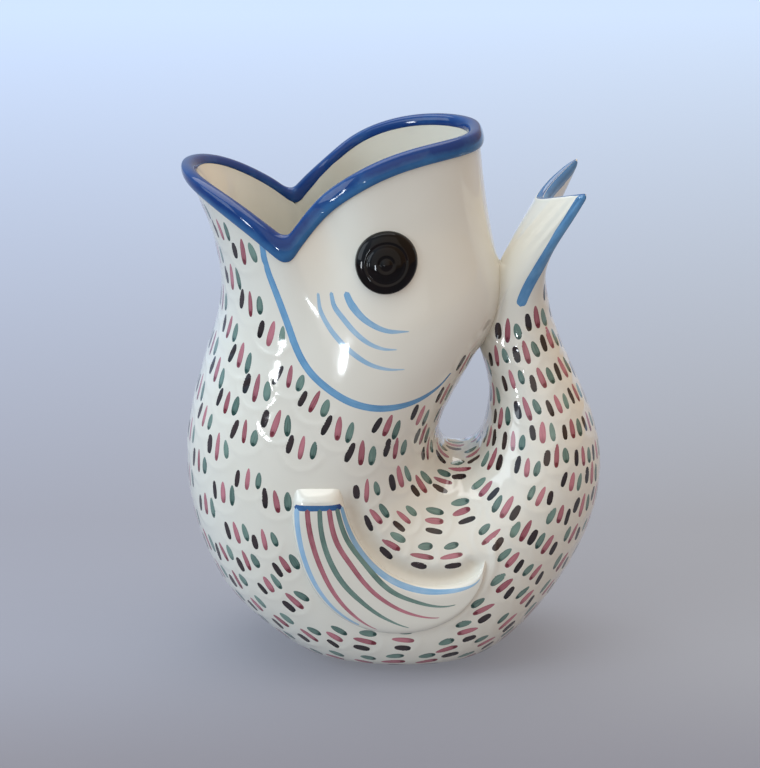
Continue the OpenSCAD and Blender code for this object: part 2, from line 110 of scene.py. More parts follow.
MOUTH, TAIL, SEAT, FAN, TOP, CHAMBER = 1, 19, 22, 28, 31, 27.2
NOTCH_SHARE, JAW_BEND, LIP_BEND = 0.273, 1.2, 2.6
FLARE_PLACE, FLARE_REACH = 0.25, 0.07
PINCH_PLACE, PINCH_REACH = 0.43, 0.10
WAVE_STATION, WAVE_REACH = 1.5, 2.2
SWEEP_BEND, LIFT_BEND = 1.5, 1.3
SEAT_GAP = -0.3 * MM
FLUTES, FLUTE_HEIGHT = 9, 0.16 * MM


def mix(a, b, share):
    """Value a share of the way from a to b."""
    return a + (b - a) * share


def smooth(low, high, value):
    """0 below low, 1 above high, and a soft step between them."""
    t = np.clip((value - low) / (high - low), 0, 1)
    return t * t * (3 - 2 * t)


def unit(vectors):
    """The same vectors, one long."""
    return vectors / np.maximum(np.linalg.norm(vectors, axis=-1, keepdims=True), 1e-12)


def soft_max(a, b, reach):
    """Larger of two values, rounded where they meet within a reach."""
    d = a - b
    return np.where(d >= reach, a, np.where(d <= -reach, b, b + (d + reach) ** 2 / (4 * reach)))


def bell(x):
    """Bell curve: 1 at 0 and next to nothing beyond 2."""
    return np.exp(-x * x)


def curve_through(points, count):
    """Even steps along a smooth curve that passes through every given point."""
    points = np.asarray(points, float)
    ends = np.vstack([2 * points[:1] - points[1:2], points, 2 * points[-1:] - points[-2:-1]])
    u = np.linspace(0, len(points) - 1, count)
    i = np.minimum(u.astype(int), len(points) - 2)
    f = (u - i)[:, None]
    a, b, c, d = (ends[i + k] for k in range(4))
    return b + 0.5 * f * (c - a + f * (2 * a - 5 * b + 4 * c - d + f * (3 * (b - c) + d - a)))


def chord_share(p):
    """Share of the chord at loop place p: 0 outer rail, 1 inner rail, 2 outer again."""
    return (1 - np.cos(np.pi * np.asarray(p, float))) / 2


def chord_place(share):
    """Loop place, on the near side, of a share of the chord."""
    return np.arccos(1 - 2 * np.asarray(share, float)) / np.pi


def guide_rows(rows):
    """Rows of a smooth run, carried on past both ends so that it reaches them."""
    rows = np.asarray(rows, float)
    step = rows[-1] - rows[-2]
    return np.vstack([2 * rows[:1] - rows[1:2], rows, rows[-1:] + step, rows[-1:] + 2 * step])


def run(guide, u):
    """Smooth run through guide rows, at places u along them."""
    u = np.asarray(u, float)
    i = np.clip(np.floor(u).astype(int), 0, len(guide) - 4)
    f = (u - i)[..., None]
    g = 1 - f
    return (g**3 * guide[i] + (3 * f**3 - 6 * f * f + 4) * guide[i + 1]
            + (3 * g**3 - 6 * g * g + 4) * guide[i + 2] + f**3 * guide[i + 3]) / 6


class JugForm:
    """The outer form of the jug as functions of a station u and a loop place p."""

    HEAD_START, HEAD_STATIONS, HEAD_ROUNDS = 6.0, (1, 12), 7
    SIDE_STATIONS, SIDE_ROUNDS = (MOUTH - 0.8, 21.0), 24
    STATION_PROBE, PLACE_PROBE = 0.02, 0.004
    FLUTE_PLACES = (0.46, 0.36)
    FLUTE_START, FLUTE_END = (FAN + 0.2, FAN + 1.4), (TOP + 0.6, TOP)

    def __init__(self, shape):
        self.shape = shape
        outer, inner = np.array(STATION_SHARES), np.array(INNER_SHARES)
        widths = [shape.mouth_width, shape.belly_width, shape.tail_width, shape.fluke_span]
        self.guide = guide_rows(np.column_stack([
            outer[:, 0] * shape.jug_length, outer[:, 1] * shape.jug_height,
            inner[:, 0] * shape.jug_length + inner[:, 2] * shape.gap_width,
            inner[:, 1] * shape.jug_height + inner[:, 3] * shape.gap_height,
            np.interp(outer[:, 2], range(len(widths)), widths) / 2,
            outer[:, 3], outer[:, 4], outer[:, 5],
            outer[:, 6] * shape.fluke_sweep, outer[:, 7] * shape.fluke_lift]))
        self.head_drop = self.guide[6, 3] - self.guide[7, 3]
        self.pitch = np.hypot(*(self.guide[6, :2] - self.guide[5, :2]))

    def along(self, u):
        """Rails, half width, shape and fluke offsets at station u, as ten arrays."""
        return np.moveaxis(run(self.guide, u), -1, 0)

    @staticmethod
    def bulge(share, widest, outer_round, inner_round):
        """Share of the half width at a share of the chord."""
        low = 1 - np.minimum(share / widest, 1)
        high = np.maximum((share - widest) / (1 - widest), 0)
        return np.where(share < widest,
                        np.maximum(1 - low**outer_round, 0) ** (1 / outer_round),
                        np.maximum(1 - high**inner_round, 0) ** (1 / inner_round))

    def mouth_wave(self, u, share):
        """Flare of the mouth's corners and pinch of the cheeks."""
        flare = self.shape.corner_flare * bell((share - FLARE_PLACE) / FLARE_REACH)
        pinch = self.shape.cheek_pinch * bell((share - PINCH_PLACE) / PINCH_REACH)
        return bell((u - WAVE_STATION) / WAVE_REACH) * (flare - pinch)

    def head_back(self, y, z):
        """Place along X of the back of the head, at distance y from its middle."""
        u = np.full(np.shape(y), self.HEAD_START)
        for _ in range(self.HEAD_ROUNDS):
            x0, z0, x1, z1, half, widest, _o, round_in, _s, _l = self.along(u)
            q = np.minimum(1, y / half)
            share = mix(widest, 1, np.maximum(0, 1 - q**round_in) ** (1 / round_in))
            x = mix(x0, x1, share)
            u = np.clip(u + (mix(z0, z1, share) - z) / self.head_drop, *self.HEAD_STATIONS)
        return x

    def point(self, u, p, inset=0.0):
        """Point of the pot: the form, flat underneath and seated on the head's back."""
        u, p = np.broadcast_arrays(np.asarray(u, float), np.asarray(p, float))
        x0, z0, x1, z1, half, widest, round_out, round_in, sweep, lift = self.along(u)
        share = chord_share(p)
        b = self.bulge(share, widest, round_out, round_in)
        draw = inset / np.hypot(x1 - x0, z1 - z0)
        t = draw + (1 - 2 * draw) * share
        y = (half + self.mouth_wave(u, share) - inset) * b
        x = mix(x0, x1, t) + sweep * b**SWEEP_BEND
        z = mix(z0, z1, t) + lift * b**LIFT_BEND
        z = soft_max(z, self.shape.foot_height + inset, self.shape.base_soft)
        near = (u >= SEAT) & (np.abs(np.mod(p, 2) - 1) <= 0.5)
        if near.any():
            back = self.head_back(np.abs(y[near]), z[near]) + SEAT_GAP + inset
            x[near] = soft_max(x[near], back, self.shape.luting_fillet)
        return np.stack([x, np.where(np.mod(p, 2) <= 1, -y, y), z], -1)

    def fan_point(self, u, p):
        """Point of the flukes: past the last station the top edge closes in an arc."""
        u, p = np.broadcast_arrays(np.asarray(u, float), np.asarray(p, float))
        over = np.clip(u - TOP, 0, 1) * np.pi / 2
        q = self.point(np.minimum(u, TOP), p)
        facing = self.point(np.minimum(u, TOP), np.where(np.mod(p, 2) <= 1, 1 - p, 3 - p))
        last, before = self.along(np.array([TOP, TOP - 1.0])).T
        way = np.array([last[0] + last[2] - before[0] - before[2], 0,
                        last[1] + last[3] - before[1] - before[3]])
        thin, rise = np.cos(over)[..., None], np.sin(over)[..., None]
        return mix((q + facing) / 2, q, thin) + self.shape.fluke_edge * rise * unit(way)

    def axes(self, u, p):
        """Directions along the stations and across them, and the outward direction."""
        du, dp = self.STATION_PROBE, self.PLACE_PROBE
        along = self.fan_point(u + du, p) - self.fan_point(u - du, p)
        across = self.fan_point(u, p + dp) - self.fan_point(u, p - dp)
        facing = unit(np.cross(along, across))
        along = unit(along)
        return along, np.cross(facing, along), facing

    def fluted_point(self, u, p):
        """Point of the flukes with the soft flutes of their front faces."""
        u, p = np.broadcast_arrays(np.asarray(u, float), np.asarray(p, float))
        front = smooth(*self.FLUTE_PLACES, np.abs(np.mod(p, 2) - 1))
        flutes = FLUTE_HEIGHT * np.cos(2 * np.pi * FLUTES * p) * front \
            * smooth(*self.FLUTE_START, u) * smooth(*self.FLUTE_END, u)
        return self.fan_point(u, p) + flutes[..., None] * self.axes(u, p)[2]

    def rim_station(self, p):
        """Station of the pot's edge at loop place p."""
        share = chord_share(p)
        q = np.clip((share - NOTCH_SHARE) / (1 - NOTCH_SHARE), 0, 1)
        jaw = self.shape.notch_depth * (share / NOTCH_SHARE) ** JAW_BEND
        lip = self.shape.notch_depth * (1 - q) ** LIP_BEND - self.shape.lip_arch * np.sin(np.pi * q)
        a, b = self.along(np.array([MOUTH, MOUTH + 1.0])).T
        pitch = np.hypot(mix(a[0], a[2], share) - mix(b[0], b[2], share),
                         mix(a[1], a[3], share) - mix(b[1], b[3], share))
        return MOUTH + np.where(share < NOTCH_SHARE, jaw, lip) / pitch

    def side_place(self, x, z):
        """Station and chord share of the point of the side seen square on at x and z."""
        x, z = np.asarray(x, float), np.asarray(z, float)
        low, high = (np.full(x.shape, station) for station in self.SIDE_STATIONS)
        for _ in range(self.SIDE_ROUNDS):
            u = (low + high) / 2
            x0, z0, x1, z1 = self.along(u)[:4]
            before = (x1 - x0) * (z - z0) < (z1 - z0) * (x - x0)
            low, high = np.where(before, u, low), np.where(before, high, u)
        share = ((x - x0) * (x1 - x0) + (z - z0) * (z1 - z0)) / ((x1 - x0) ** 2 + (z1 - z0) ** 2)
        return u, np.clip(share, 0, 1)

    def side_point(self, x, z):
        """Point of the fish's left side, seen square on at x and z."""
        u, share = self.side_place(x, z)
        _x, _z, _a, _b, half, widest, round_out, round_in, _s, _l = self.along(u)
        y = (half + self.mouth_wave(u, share)) * self.bulge(share, widest, round_out, round_in)
        return np.stack([np.asarray(x, float), -y, np.asarray(z, float)], -1)


# Outline of a side fin, from the top of its shoulder to its tip: the breast side
# and the back side, in shares of the fin's length and height
FIN_BREAST_SHARES = ((0.030, 0.125), (0, 0), (0.01, -0.24), (0.055, -0.51), (0.165, -0.79),
                     (0.37, -0.98), (0.64, -1.01), (0.86, -0.88), (0.965, -0.68), (1, -0.49))
FIN_BACK_SHARES = ((0.245, 0.125), (0.27, 0), (0.31, -0.2), (0.4, -0.41), (0.53, -0.565),
                   (0.69, -0.64), (0.83, -0.635), (0.925, -0.59), (0.97, -0.53), (0.99, -0.46))
FIN_CORNER_SHARES = (-0.239, 0.358)
FIN_ROUND, SHOULDER_ROUND = 6, 2.4
FIN_SHOULDER_SHARE = 0.075
EYE_PLACE_SHARES = (-0.018, 0.802)


class SideFin:
    """The left side fin over its two shares: t from shoulder to tip, q from breast to back."""

    BURIED = 0.4 * MM
    SHOULDER_PLACES = (0.05, 0.14)

    def __init__(self, form):
        self.form = form
        self.shape = form.shape
        self.breast = guide_rows(FIN_BREAST_SHARES)
        self.back = guide_rows(FIN_BACK_SHARES)

    def outline(self, t, q):
        """Place seen square on, as x and z."""
        u = np.asarray(t, float) * (len(FIN_BREAST_SHARES) - 1)
        s = mix(run(self.breast, u), run(self.back, u), np.asarray(q, float)[..., None])
        return (FIN_CORNER_SHARES[0] * self.shape.jug_length + s[..., 0] * self.shape.fin_length,
                FIN_CORNER_SHARES[1] * self.shape.jug_height + s[..., 1] * self.shape.fin_height)

    def height(self, t, q):
        """Height above the pot's side; the fin's outline is buried a little."""
        bend = mix(SHOULDER_ROUND, FIN_ROUND, smooth(*self.SHOULDER_PLACES, t))
        crown = np.sqrt(np.maximum(0, 1 - np.abs(2 * q - 1) ** bend))
        ends = (np.sin(np.pi / 2 * np.clip(t / FIN_SHOULDER_SHARE, 0, 1))
                * np.sin(np.pi / 2 * np.clip((1 - t) / FIN_SHOULDER_SHARE, 0, 1)))
        body = mix(self.shape.fin_ledge, self.shape.fin_tip, t)
        return -self.BURIED + (body + self.BURIED) * crown * ends

    def point(self, t, q, drop=None):
        """Point of the fin's top, or of a sheet that lies a drop under the pot's side."""
        t, q = np.broadcast_arrays(np.asarray(t, float), np.asarray(q, float))
        points = self.form.side_point(*self.outline(t, q))
        points[..., 1] -= self.height(t, q) if drop is None else -drop
        return points


def grid_faces(index, closed=False, turned=False):
    """Four-sided faces over a table of point numbers, one row per station."""
    if closed:
        index = np.hstack([index, index[:, :1]])
    faces = np.stack([index[:-1, :-1], index[1:, :-1], index[1:, 1:], index[:-1, 1:]], -1)
    faces = faces.reshape(-1, 4)
    return faces[:, ::-1] if turned else faces


def fan_faces(ring, centre, turned=False):
    """Triangles from a ring of point numbers to one point in its middle."""
    around = np.roll(ring, -1)
    pairs = (ring, around) if turned else (around, ring)
    return np.stack([*pairs, np.full(len(ring), centre)], -1)


def grid_normals(points, closed=True):
    """Outward directions on a table of points, from the neighbours of each."""
    down = np.gradient(points, axis=0)
    across = (np.roll(points, -1, 1) - np.roll(points, 1, 1)) if closed \
        else np.gradient(points, axis=1)
    return unit(np.cross(down, across))


def mirrored(points):
    """The same points on the fish's other side."""
    return points * np.array([1, -1, 1])


class Piece:
    """Points, faces and values of one piece, gathered patch by patch."""

    def __init__(self, name):
        self.name = name
        self.count = 0
        self.points, self.normals, self.faces, self.uvs = [], [], [], []
        self.values = {}

    def add(self, points, normals=None, uv=None, **values):
        """Adds a table of points and returns their numbers in the same layout."""
        points = np.asarray(points, float)
        shape = points.shape[:-1]
        n = int(np.prod(shape)) if shape else 1
        self.points.append(points.reshape(n, 3))
        self.normals.append(np.zeros((n, 3)) if normals is None else normals.reshape(n, 3))
        self.uvs.append(np.zeros((n, 2)) if uv is None else np.asarray(uv).reshape(n, 2))
        for key in set(values) | set(self.values):
            value = np.broadcast_to(np.asarray(values.get(key, 0.0), float), shape).reshape(n)
            self.values.setdefault(key, [np.zeros(self.count)] if self.count else [])
            self.values[key].append(value)
        numbers = np.arange(self.count, self.count + n).reshape(shape)
        self.count += n
        return numbers

    def face(self, faces):
        """Adds faces by the numbers of their points."""
        self.faces.append(np.asarray(faces))

    def sheet(self, points, normals=None, uv=None, closed=False, turned=False, **values):
        """Adds a table of points with faces over all of it."""
        numbers = self.add(points, normals, uv, **values)
        self.face(grid_faces(numbers, closed, turned))
        return numbers

    def mesh(self):
        """Makes the mesh, with its painted places, values and outward directions."""
        used = np.unique(np.concatenate([part.ravel() for part in self.faces]))
        place = np.zeros(self.count, dtype=int)
        place[used] = np.arange(len(used))
        faces = [tuple(face) for part in self.faces for face in place[part].tolist()]
        mesh = bpy.data.meshes.new(self.name)
        mesh.from_pydata(np.concatenate(self.points)[used].tolist(), [], faces)
        mesh.shade_smooth()
        loops = np.empty(len(mesh.loops), dtype=np.int32)
        mesh.loops.foreach_get("vertex_index", loops)
        mesh.uv_layers.new(name="UVMap").uv.foreach_set(
            "vector", np.concatenate(self.uvs)[used][loops].astype(np.float32).ravel())
        for key, parts in self.values.items():
            mesh.attributes.new(key, "FLOAT", "POINT").data.foreach_set(
                "value", np.concatenate(parts)[used].astype(np.float32))
        normals = np.concatenate(self.normals)[used]
        if np.abs(normals).sum(1).min() > 0:
            mesh.normals_split_custom_set_from_vertices(normals.tolist())
        return mesh

    def build(self, material, replaces=()):
        """Makes the mesh object, in its place in the frame, and returns it."""
        mesh = self.mesh()
        mesh.materials.append(material)
        return settle(placed(self.name, mesh), replaces)


def placed(name, data):
    """A new object with this data, in the scene."""
    made = bpy.data.objects.new(name, data)
    bpy.context.scene.collection.objects.link(made)
    return made


def settle(piece, replaces=()):
    """Says what the piece rides on and hides the CAD nodes it stands for."""
    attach(piece, ROOT)
    if replaces:
        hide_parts(*replaces)
    return piece


# Places of the brush dabs

GROUP_COLUMNS = 40
FIRST_GAP_STATIONS = 0.70
LAST_DAB_STATION = 27.1
# Paths are stations and loop places. Many rows of the painted paths, of CREASE and of
# FIN_BACK_SHARES are places that rays cast through points of the photograph gave.
# Some of these were then rounded or moved
GILL_PATH = ((2.62, 0.293), (3.20, 0.290), (3.78, 0.299), (4.68, 0.327), (5.65, 0.369),
             (6.36, 0.413), (6.96, 0.466), (7.56, 0.532), (8.00, 0.600), (8.24, 0.665),
             (8.30, 0.724), (8.16, 0.772), (7.85, 0.795))
HEAD_BACK_END = (6.90, 1.0)
FLUKE_BAND_PATH = ((26.60, 0.505), (27.50, 0.480), (28.10, 0.462), (28.85, 0.455),
                   (29.74, 0.475), (30.50, 0.498), (31.00, 0.512), (31.60, 0.520))
SEAT_LOW_SHARE = 0.6
FIN_STATIONS = (8.5, 20)


class DabPlan:
    """Where the groups of three dabs lie on the fish's left side and its two rails."""

    FIT = 0.94
    DAB_LENGTH_SHARE, DAB_WIDTH_SHARE = 1.05, 1.12
    SEAT_LENGTH_SHARE = 0.4
    FOOT_GAP, FIN_GAP, SIDE_REACH = 3 * MM, 4.6 * MM, 20 * MM
    FIN_SAMPLES, BACK_SAMPLES, LINE_SAMPLES, COLUMN_SAMPLES = (30, 14), 60, 160, 1500
    DENSE_STATIONS = (9, 12)
    INNER_DENSE_PLACES, INNER_DENSE_STATIONS = (0.55, 0.75), (6.5, 8)

    def __init__(self, form, fin, paint):
        self.form, self.fin, self.paint = form, fin, paint
        gill = np.array(GILL_PATH + (HEAD_BACK_END,))
        self.gill = gill[np.argsort(gill[:, 1])]
        self.back = np.stack(fin.outline(np.linspace(0, 1, self.BACK_SAMPLES), 1.0), -1)
        self.lines = np.vstack([form.point(*curve_through(path, self.LINE_SAMPLES).T)
                                for path in (GILL_PATH, FLUKE_BAND_PATH[:3])])
        rows = {key: [] for key in ("centre", "along", "across", "facing", "dense", "station")}
        self.laid = np.empty((0, 3))
        for j in range(GROUP_COLUMNS + 1):
            self.fill_column(j / GROUP_COLUMNS, rows)
        for key, parts in rows.items():
            setattr(self, key, np.array(parts))

    def free(self, u, p, points):
        """True where a group of dabs has room beside the lines, the fins and the seat."""
        face = (p >= self.gill[0, 1]) & (u < np.interp(p, self.gill[:, 1], self.gill[:, 0]))
        gap = np.sqrt(((points[:, None] - self.lines) ** 2).sum(-1)).min(1)
        x, z = points[..., 0], points[..., 2]
        seat = (u > SEAT) & (p > 0.5) & (z > SEAT_LOW_SHARE * self.form.shape.jug_height) & (
            x - self.form.head_back(np.abs(points[..., 1]), z) < self.paint.dab_length / 2)
        low = z < self.form.shape.foot_height + self.FOOT_GAP
        return ~(face | seat | low | (gap < self.paint.line_gap) | self.near_fin(u, points))

    def near_fin(self, u, points):
        """True on the side fins, on their shoulders and in the hollow behind them."""
        x, z = points[..., 0], points[..., 2]
        t, q = np.meshgrid(*(np.linspace(0, 1, n) for n in self.FIN_SAMPLES), indexing="ij")
        fx, fz = self.fin.outline(t.ravel(), q.ravel())
        gap = np.hypot(x[:, None] - fx, z[:, None] - fz).min(1)
        bx, bz = self.back[:, 0], self.back[:, 1]
        behind = np.hypot(x[:, None] - bx, z[:, None] - bz).min(1)
        close = (gap < self.FIN_GAP) | (behind < self.paint.hollow_width + MM)
        return (u < FIN_STATIONS[1]) & close & (np.abs(points[..., 1]) > self.SIDE_REACH)

    def dabs(self, centre, across, dense):
        """Middles of the three dabs of a group."""
        gap = mix(self.paint.dab_gap, self.paint.tail_dab_gap, dense)
        return centre + across * gap * np.array([[-1], [0], [1]])

    def on_seat(self, dabs):
        """True where one of these dabs would lie on the seat of the tail on the head."""
        gap = dabs[:, 0] - self.form.head_back(np.abs(dabs[:, 1]), dabs[:, 2])
        high = dabs[:, 2] > SEAT_LOW_SHARE * self.form.shape.jug_height
        return bool((high & (gap > -MM) & (gap < self.SEAT_LENGTH_SHARE * self.paint.dab_length)).any())

    def touching(self, dabs, along):
        """True where one of these dabs would touch one of another group."""
        away = dabs[:, None] - self.laid
        lead = away @ along
        rest = (away**2).sum(-1) - lead**2
        reach = self.paint.dab_length * self.DAB_LENGTH_SHARE
        width = self.paint.dab_width * self.DAB_WIDTH_SHARE
        return bool(((lead / reach) ** 2 + rest / width**2 < 1).any())

    def fill_column(self, p, rows):
        """Walks down one column and puts a group wherever there is room for one."""
        form = self.form
        u = np.linspace(float(form.rim_station(p)) + FIRST_GAP_STATIONS, LAST_DAB_STATION,
                        self.COLUMN_SAMPLES)
        points = form.point(u, p)
        along, across, facing = form.axes(u, np.full_like(u, p))
        inner = smooth(*self.INNER_DENSE_PLACES, p) * smooth(*self.INNER_DENSE_STATIONS, u)
        dense = np.maximum(smooth(*self.DENSE_STATIONS, u), inner)
        reach = mix(self.paint.group_length, self.paint.tail_group_length, dense)
        side = mix(self.paint.group_width, self.paint.tail_group_width, dense)
        own = np.abs(points[:, 1]) * 2
        room = (own < MM) | (own / side > self.FIT)
        for k in np.flatnonzero(self.free(u, p, points) & room):
            if rows["centre"]:
                away = np.array(rows["centre"]) - points[k]
                lead = away @ along[k]
                rest = np.sqrt(np.maximum((away**2).sum(1) - lead**2, 0))
                if ((lead / reach[k]) ** 2 + (rest / side[k]) ** 2).min() < self.FIT:
                    continue
            dabs = self.dabs(points[k], across[k], dense[k])
            if self.on_seat(dabs) or (rows["centre"] and self.touching(dabs, along[k])):
                continue
            self.laid = np.vstack([self.laid, dabs])
            for key, value in (("centre", points), ("along", along), ("across", across),
                               ("facing", facing), ("dense", dense), ("station", u)):
                rows[key].append(value[k])


# The skin, with its low relief

class Skin:
    """Outer surface of the jug with its scales, the hollows by the fins and their creases."""

    CREASE = ((42.6, 61.5), (42.4, 52.0), (39.5, 43.5), (35.5, 37.0), (29.6, 31.0), (22.3, 25.7))
    CREASE_REACH, CREASE_SAMPLES, BACK_SAMPLES = 1.9 * MM, 50, 120
    SCALE_SHARE, SCALE_MARGIN, SCALE_REACH = 0.45, 3.4 * MM, 1.3 * MM
    SCALE_SIDES, BATCH = (-0.2, 0.5), 3000
    LOW_EDGE, LOW_FULL = 5 * MM, 12 * MM
    LAST_SCALES = (27.4, 26.4)
    HOLLOW_BEND, HOLLOW_INSIDE, HOLLOW_SIDE = 0.8, 0.2 * MM, 18 * MM
    HOLLOW_START, HOLLOW_END, HOLLOW_CLEARED = (0.0, 0.16), (1.0, 0.9), (0, 0.3)

    def __init__(self, form, fin, plan, paint):
        self.form, self.fin, self.plan, self.paint = form, fin, plan, paint
        self.crease = np.array(curve_through(np.array(self.CREASE) * MM, self.CREASE_SAMPLES))
        self.back_t = np.linspace(0, 1, self.BACK_SAMPLES)
        self.back = np.stack(fin.outline(self.back_t, 1.0), -1)
        turn = np.gradient(self.back, axis=0)
        self.back_out = unit(np.stack([-turn[:, 1], turn[:, 0]], -1))
        keep = plan.centre[:, 1] < -MM
        self.centre = np.vstack([plan.centre, mirrored(plan.centre[keep])])
        along = np.vstack([plan.along, mirrored(plan.along[keep])])
        self.down = along * np.where(along[:, 2:] > UPWARD, -1, 1)
        dense = np.concatenate([plan.dense, plan.dense[keep]])
        width = mix(paint.group_width, paint.tail_group_width, dense)
        self.radius = width * self.SCALE_SHARE + self.SCALE_MARGIN

    def scales(self, points):
        """Height of the ridges that lie like fish scales round the groups of dabs."""
        height = np.zeros(len(points))
        for part in np.array_split(np.arange(len(points)), max(1, len(points) // self.BATCH)):
            away = points[part][:, None] - self.centre
            lead = (away * self.down).sum(-1)
            gap = np.sqrt((away**2).sum(-1))
            ridge = bell((gap - self.radius) / self.SCALE_REACH) \
                * smooth(*self.SCALE_SIDES, lead / self.radius)
            height[part] = ridge.max(1)
        return height

    def hollow(self, points):
        """Depth of the scooped band behind a side fin, and height of the crease at its end."""
        spot = points[:, [0, 2]]
        away = spot[:, None] - self.back
        gap = np.sqrt((away**2).sum(-1))
        near = gap.argmin(1)
        out = (away[np.arange(len(spot)), near] * self.back_out[near]).sum(-1)
        gap = gap.min(1)
        share = np.clip(gap / self.paint.hollow_width, 0, 1)
        t = self.back_t[near]
        depth = np.sin(np.pi * share**self.HOLLOW_BEND) * (out > -self.HOLLOW_INSIDE) \
            * smooth(*self.HOLLOW_START, t) * smooth(*self.HOLLOW_END, t)
        away = np.sqrt(((spot[:, None] - self.crease) ** 2).sum(-1)).min(1)
        ridge = bell(away / self.CREASE_REACH)
        return depth, ridge

    def relief(self, u, points):
        """Height of the low relief above the plain form."""
        shape = points.shape[:-1]
        flat, station = points.reshape(-1, 3), np.broadcast_to(u, shape).ravel()
        height = np.zeros(len(flat))
        low = (station < LAST_DAB_STATION) & (flat[:, 2] > self.LOW_EDGE)
        height[low] += self.paint.scale_height * self.scales(flat[low]) \
            * smooth(self.LOW_EDGE, self.LOW_FULL, flat[low, 2]) \
            * smooth(*self.LAST_SCALES, station[low])
        side = (station < FIN_STATIONS[1]) & (station > FIN_STATIONS[0]) \
            & (np.abs(flat[:, 1]) > self.HOLLOW_SIDE)
        depth, ridge = self.hollow(flat[side])
        height[side] = height[side] * (1 - smooth(*self.HOLLOW_CLEARED, depth)) \
            - self.paint.hollow_depth * depth + self.paint.crease_height * ridge
        return height.reshape(shape)

    def point(self, u, p):
        """Point of the outer surface at station u and loop place p."""
        u, p = np.broadcast_arrays(np.asarray(u, float), np.asarray(p, float))
        points = self.form.fan_point(u, p)
        return points + self.relief(u, points)[..., None] * self.form.axes(u, p)[2]


# Node graphs

class Value:
    """A socket that adds Math nodes when it is used in an expression."""

    def __init__(self, graph, socket):
        self.graph, self.socket = graph, socket

    def math(self, operation, *others, swap=False, clamp=False):
        """A Math node on this value and the others, which come first when swapped."""
        values = [*others, self] if swap else [self, *others]
        return self.graph.node("ShaderNodeMath", {"operation": operation, "use_clamp": clamp},
                               dict(enumerate(values)))

    def __add__(self, other):
        return self.math("ADD", other)

    def __radd__(self, other):
        return self.math("ADD", other)

    def __sub__(self, other):
        return self.math("SUBTRACT", other)

    def __rsub__(self, other):
        return self.math("SUBTRACT", other, swap=True)

    def __mul__(self, other):
        return self.math("MULTIPLY", other)

    def __rmul__(self, other):
        return self.math("MULTIPLY", other)

    def __truediv__(self, other):
        return self.math("DIVIDE", other)

    def __pow__(self, other):
        return self.math("POWER", other)

    def clamped(self):
        return self.math("ADD", 0.0, clamp=True)

    def step(self, low, high):
        """0 below low, 1 above high, and a soft step between them."""
        return self.graph.node("ShaderNodeMapRange", {"interpolation_type": "SMOOTHSTEP"},
                               {"Value": self, "From Min": low, "From Max": high})


class Graph:
    """Adds nodes to one tree."""

    def __init__(self, tree):
        self.tree = tree

    def node(self, kind, settings=None, inputs=None, output=0):
        """Adds a node with its settings first and then its sockets, and returns an output."""
        made = self.tree.nodes.new(kind)
        for key, value in (settings or {}).items():
            setattr(made, key, value)
        for key, value in (inputs or {}).items():
            socket = made.inputs[key]
            if isinstance(value, Value):
                self.tree.links.new(value.socket, socket)
            else:
                socket.default_value = value
        return Value(self, made.outputs[output])

    def mix_colour(self, share, first, second):
        return self.node("ShaderNodeMix", {"data_type": "RGBA"},
                         {0: share, 6: first, 7: second}, 2)

    def noise(self, where, scale, detail=2.0, roughness=0.5):
        return self.node("ShaderNodeTexNoise", {},
                         {"Vector": where, "Scale": scale, "Detail": detail,
                          "Roughness": roughness}, "Fac")

    def place(self):
        return self.node("ShaderNodeTexCoord", {}, {}, "Object")

    def attribute(self, name):
        return self.node("ShaderNodeAttribute", {"attribute_name": name}, {}, "Fac")

    def split(self, vector):
        """The three parts of a vector, as values."""
        parts = self.node("ShaderNodeSeparateXYZ", {}, {0: vector}).socket.node.outputs
        return [Value(self, part) for part in parts]

    def uv(self):
        """The piece's own two painted directions, as two values."""
        return self.split(self.node("ShaderNodeUVMap", {"uv_map": "UVMap"}))[:2]


def linear(colour):
    """Linear colour, with alpha, of a colour as it is seen."""
    return [c / 12.92 if c <= 0.04045 else ((c + 0.055) / 1.055) ** 2.4 for c in colour[:3]] + [1]


class Finish:
    """A new material with its graph and its Principled shader."""

    def __init__(self, name, roughness, coat=0.0, specular=0.5):
        self.material = bpy.data.materials.new(name)
        self.material.use_nodes = True
        self.graph = Graph(self.material.node_tree)
        self.shader = next(n for n in self.material.node_tree.nodes
                           if n.type == "BSDF_PRINCIPLED")
        self.shader.inputs["Roughness"].default_value = roughness
        self.shader.inputs["Coat Weight"].default_value = coat
        self.shader.inputs["Coat Roughness"].default_value = 0.03
        self.shader.inputs["Specular IOR Level"].default_value = specular

    def set(self, socket, value):
        """Links a value or a colour that changes over the surface to the shader."""
        self.graph.tree.links.new(value.socket, self.shader.inputs[socket])

    def bump(self, height, strength, distance):
        self.set("Normal", self.graph.node("ShaderNodeBump", {}, {
            "Height": height, "Strength": strength, "Distance": distance}, "Normal"))


def white_glaze(colours):
    """Cream glaze: faint cloudy colour, warmer and darker inside the mouth as painted shade, darker
    where it pools in the hollows, partly as painted shade, with a wavy gloss.
    """
    finish = Finish("cream_glaze", colours.glaze_roughness, coat=0.6)
    g = finish.graph
    place = g.place()
    cloud = g.noise(place, 28.0, 3.0)
    fine = g.noise(place, 420.0, 2.0)
    base = g.mix_colour(cloud.step(0.35, 0.75) * 0.5, linear(colours.glaze),
                        linear(colours.glaze_warm))
    # Inside the mouth the glaze is mixed towards a warmer, darker colour: painted shade and painted
    # warm bounce light
    inside = g.attribute("inside")
    base = g.mix_colour(inside * 0.15, base, linear(colours.glaze_inside))
    # Darker where glaze pools, in the hollows behind the side fins and along the tail's seat: partly
    # real pooling, partly painted shade
    pooled = g.attribute("pooled")
    base = g.mix_colour((pooled * (0.6 + 0.4 * fine)).clamped() * 0.55, base,
                        linear(colours.glaze_pooled))
    finish.set("Base Color", base)
    finish.set("Roughness", colours.glaze_roughness + 0.04 * cloud)
    finish.bump(g.noise(place, 95.0, 2.0) + 0.15 * fine, 0.12, 0.6 * MM)
    return finish.material


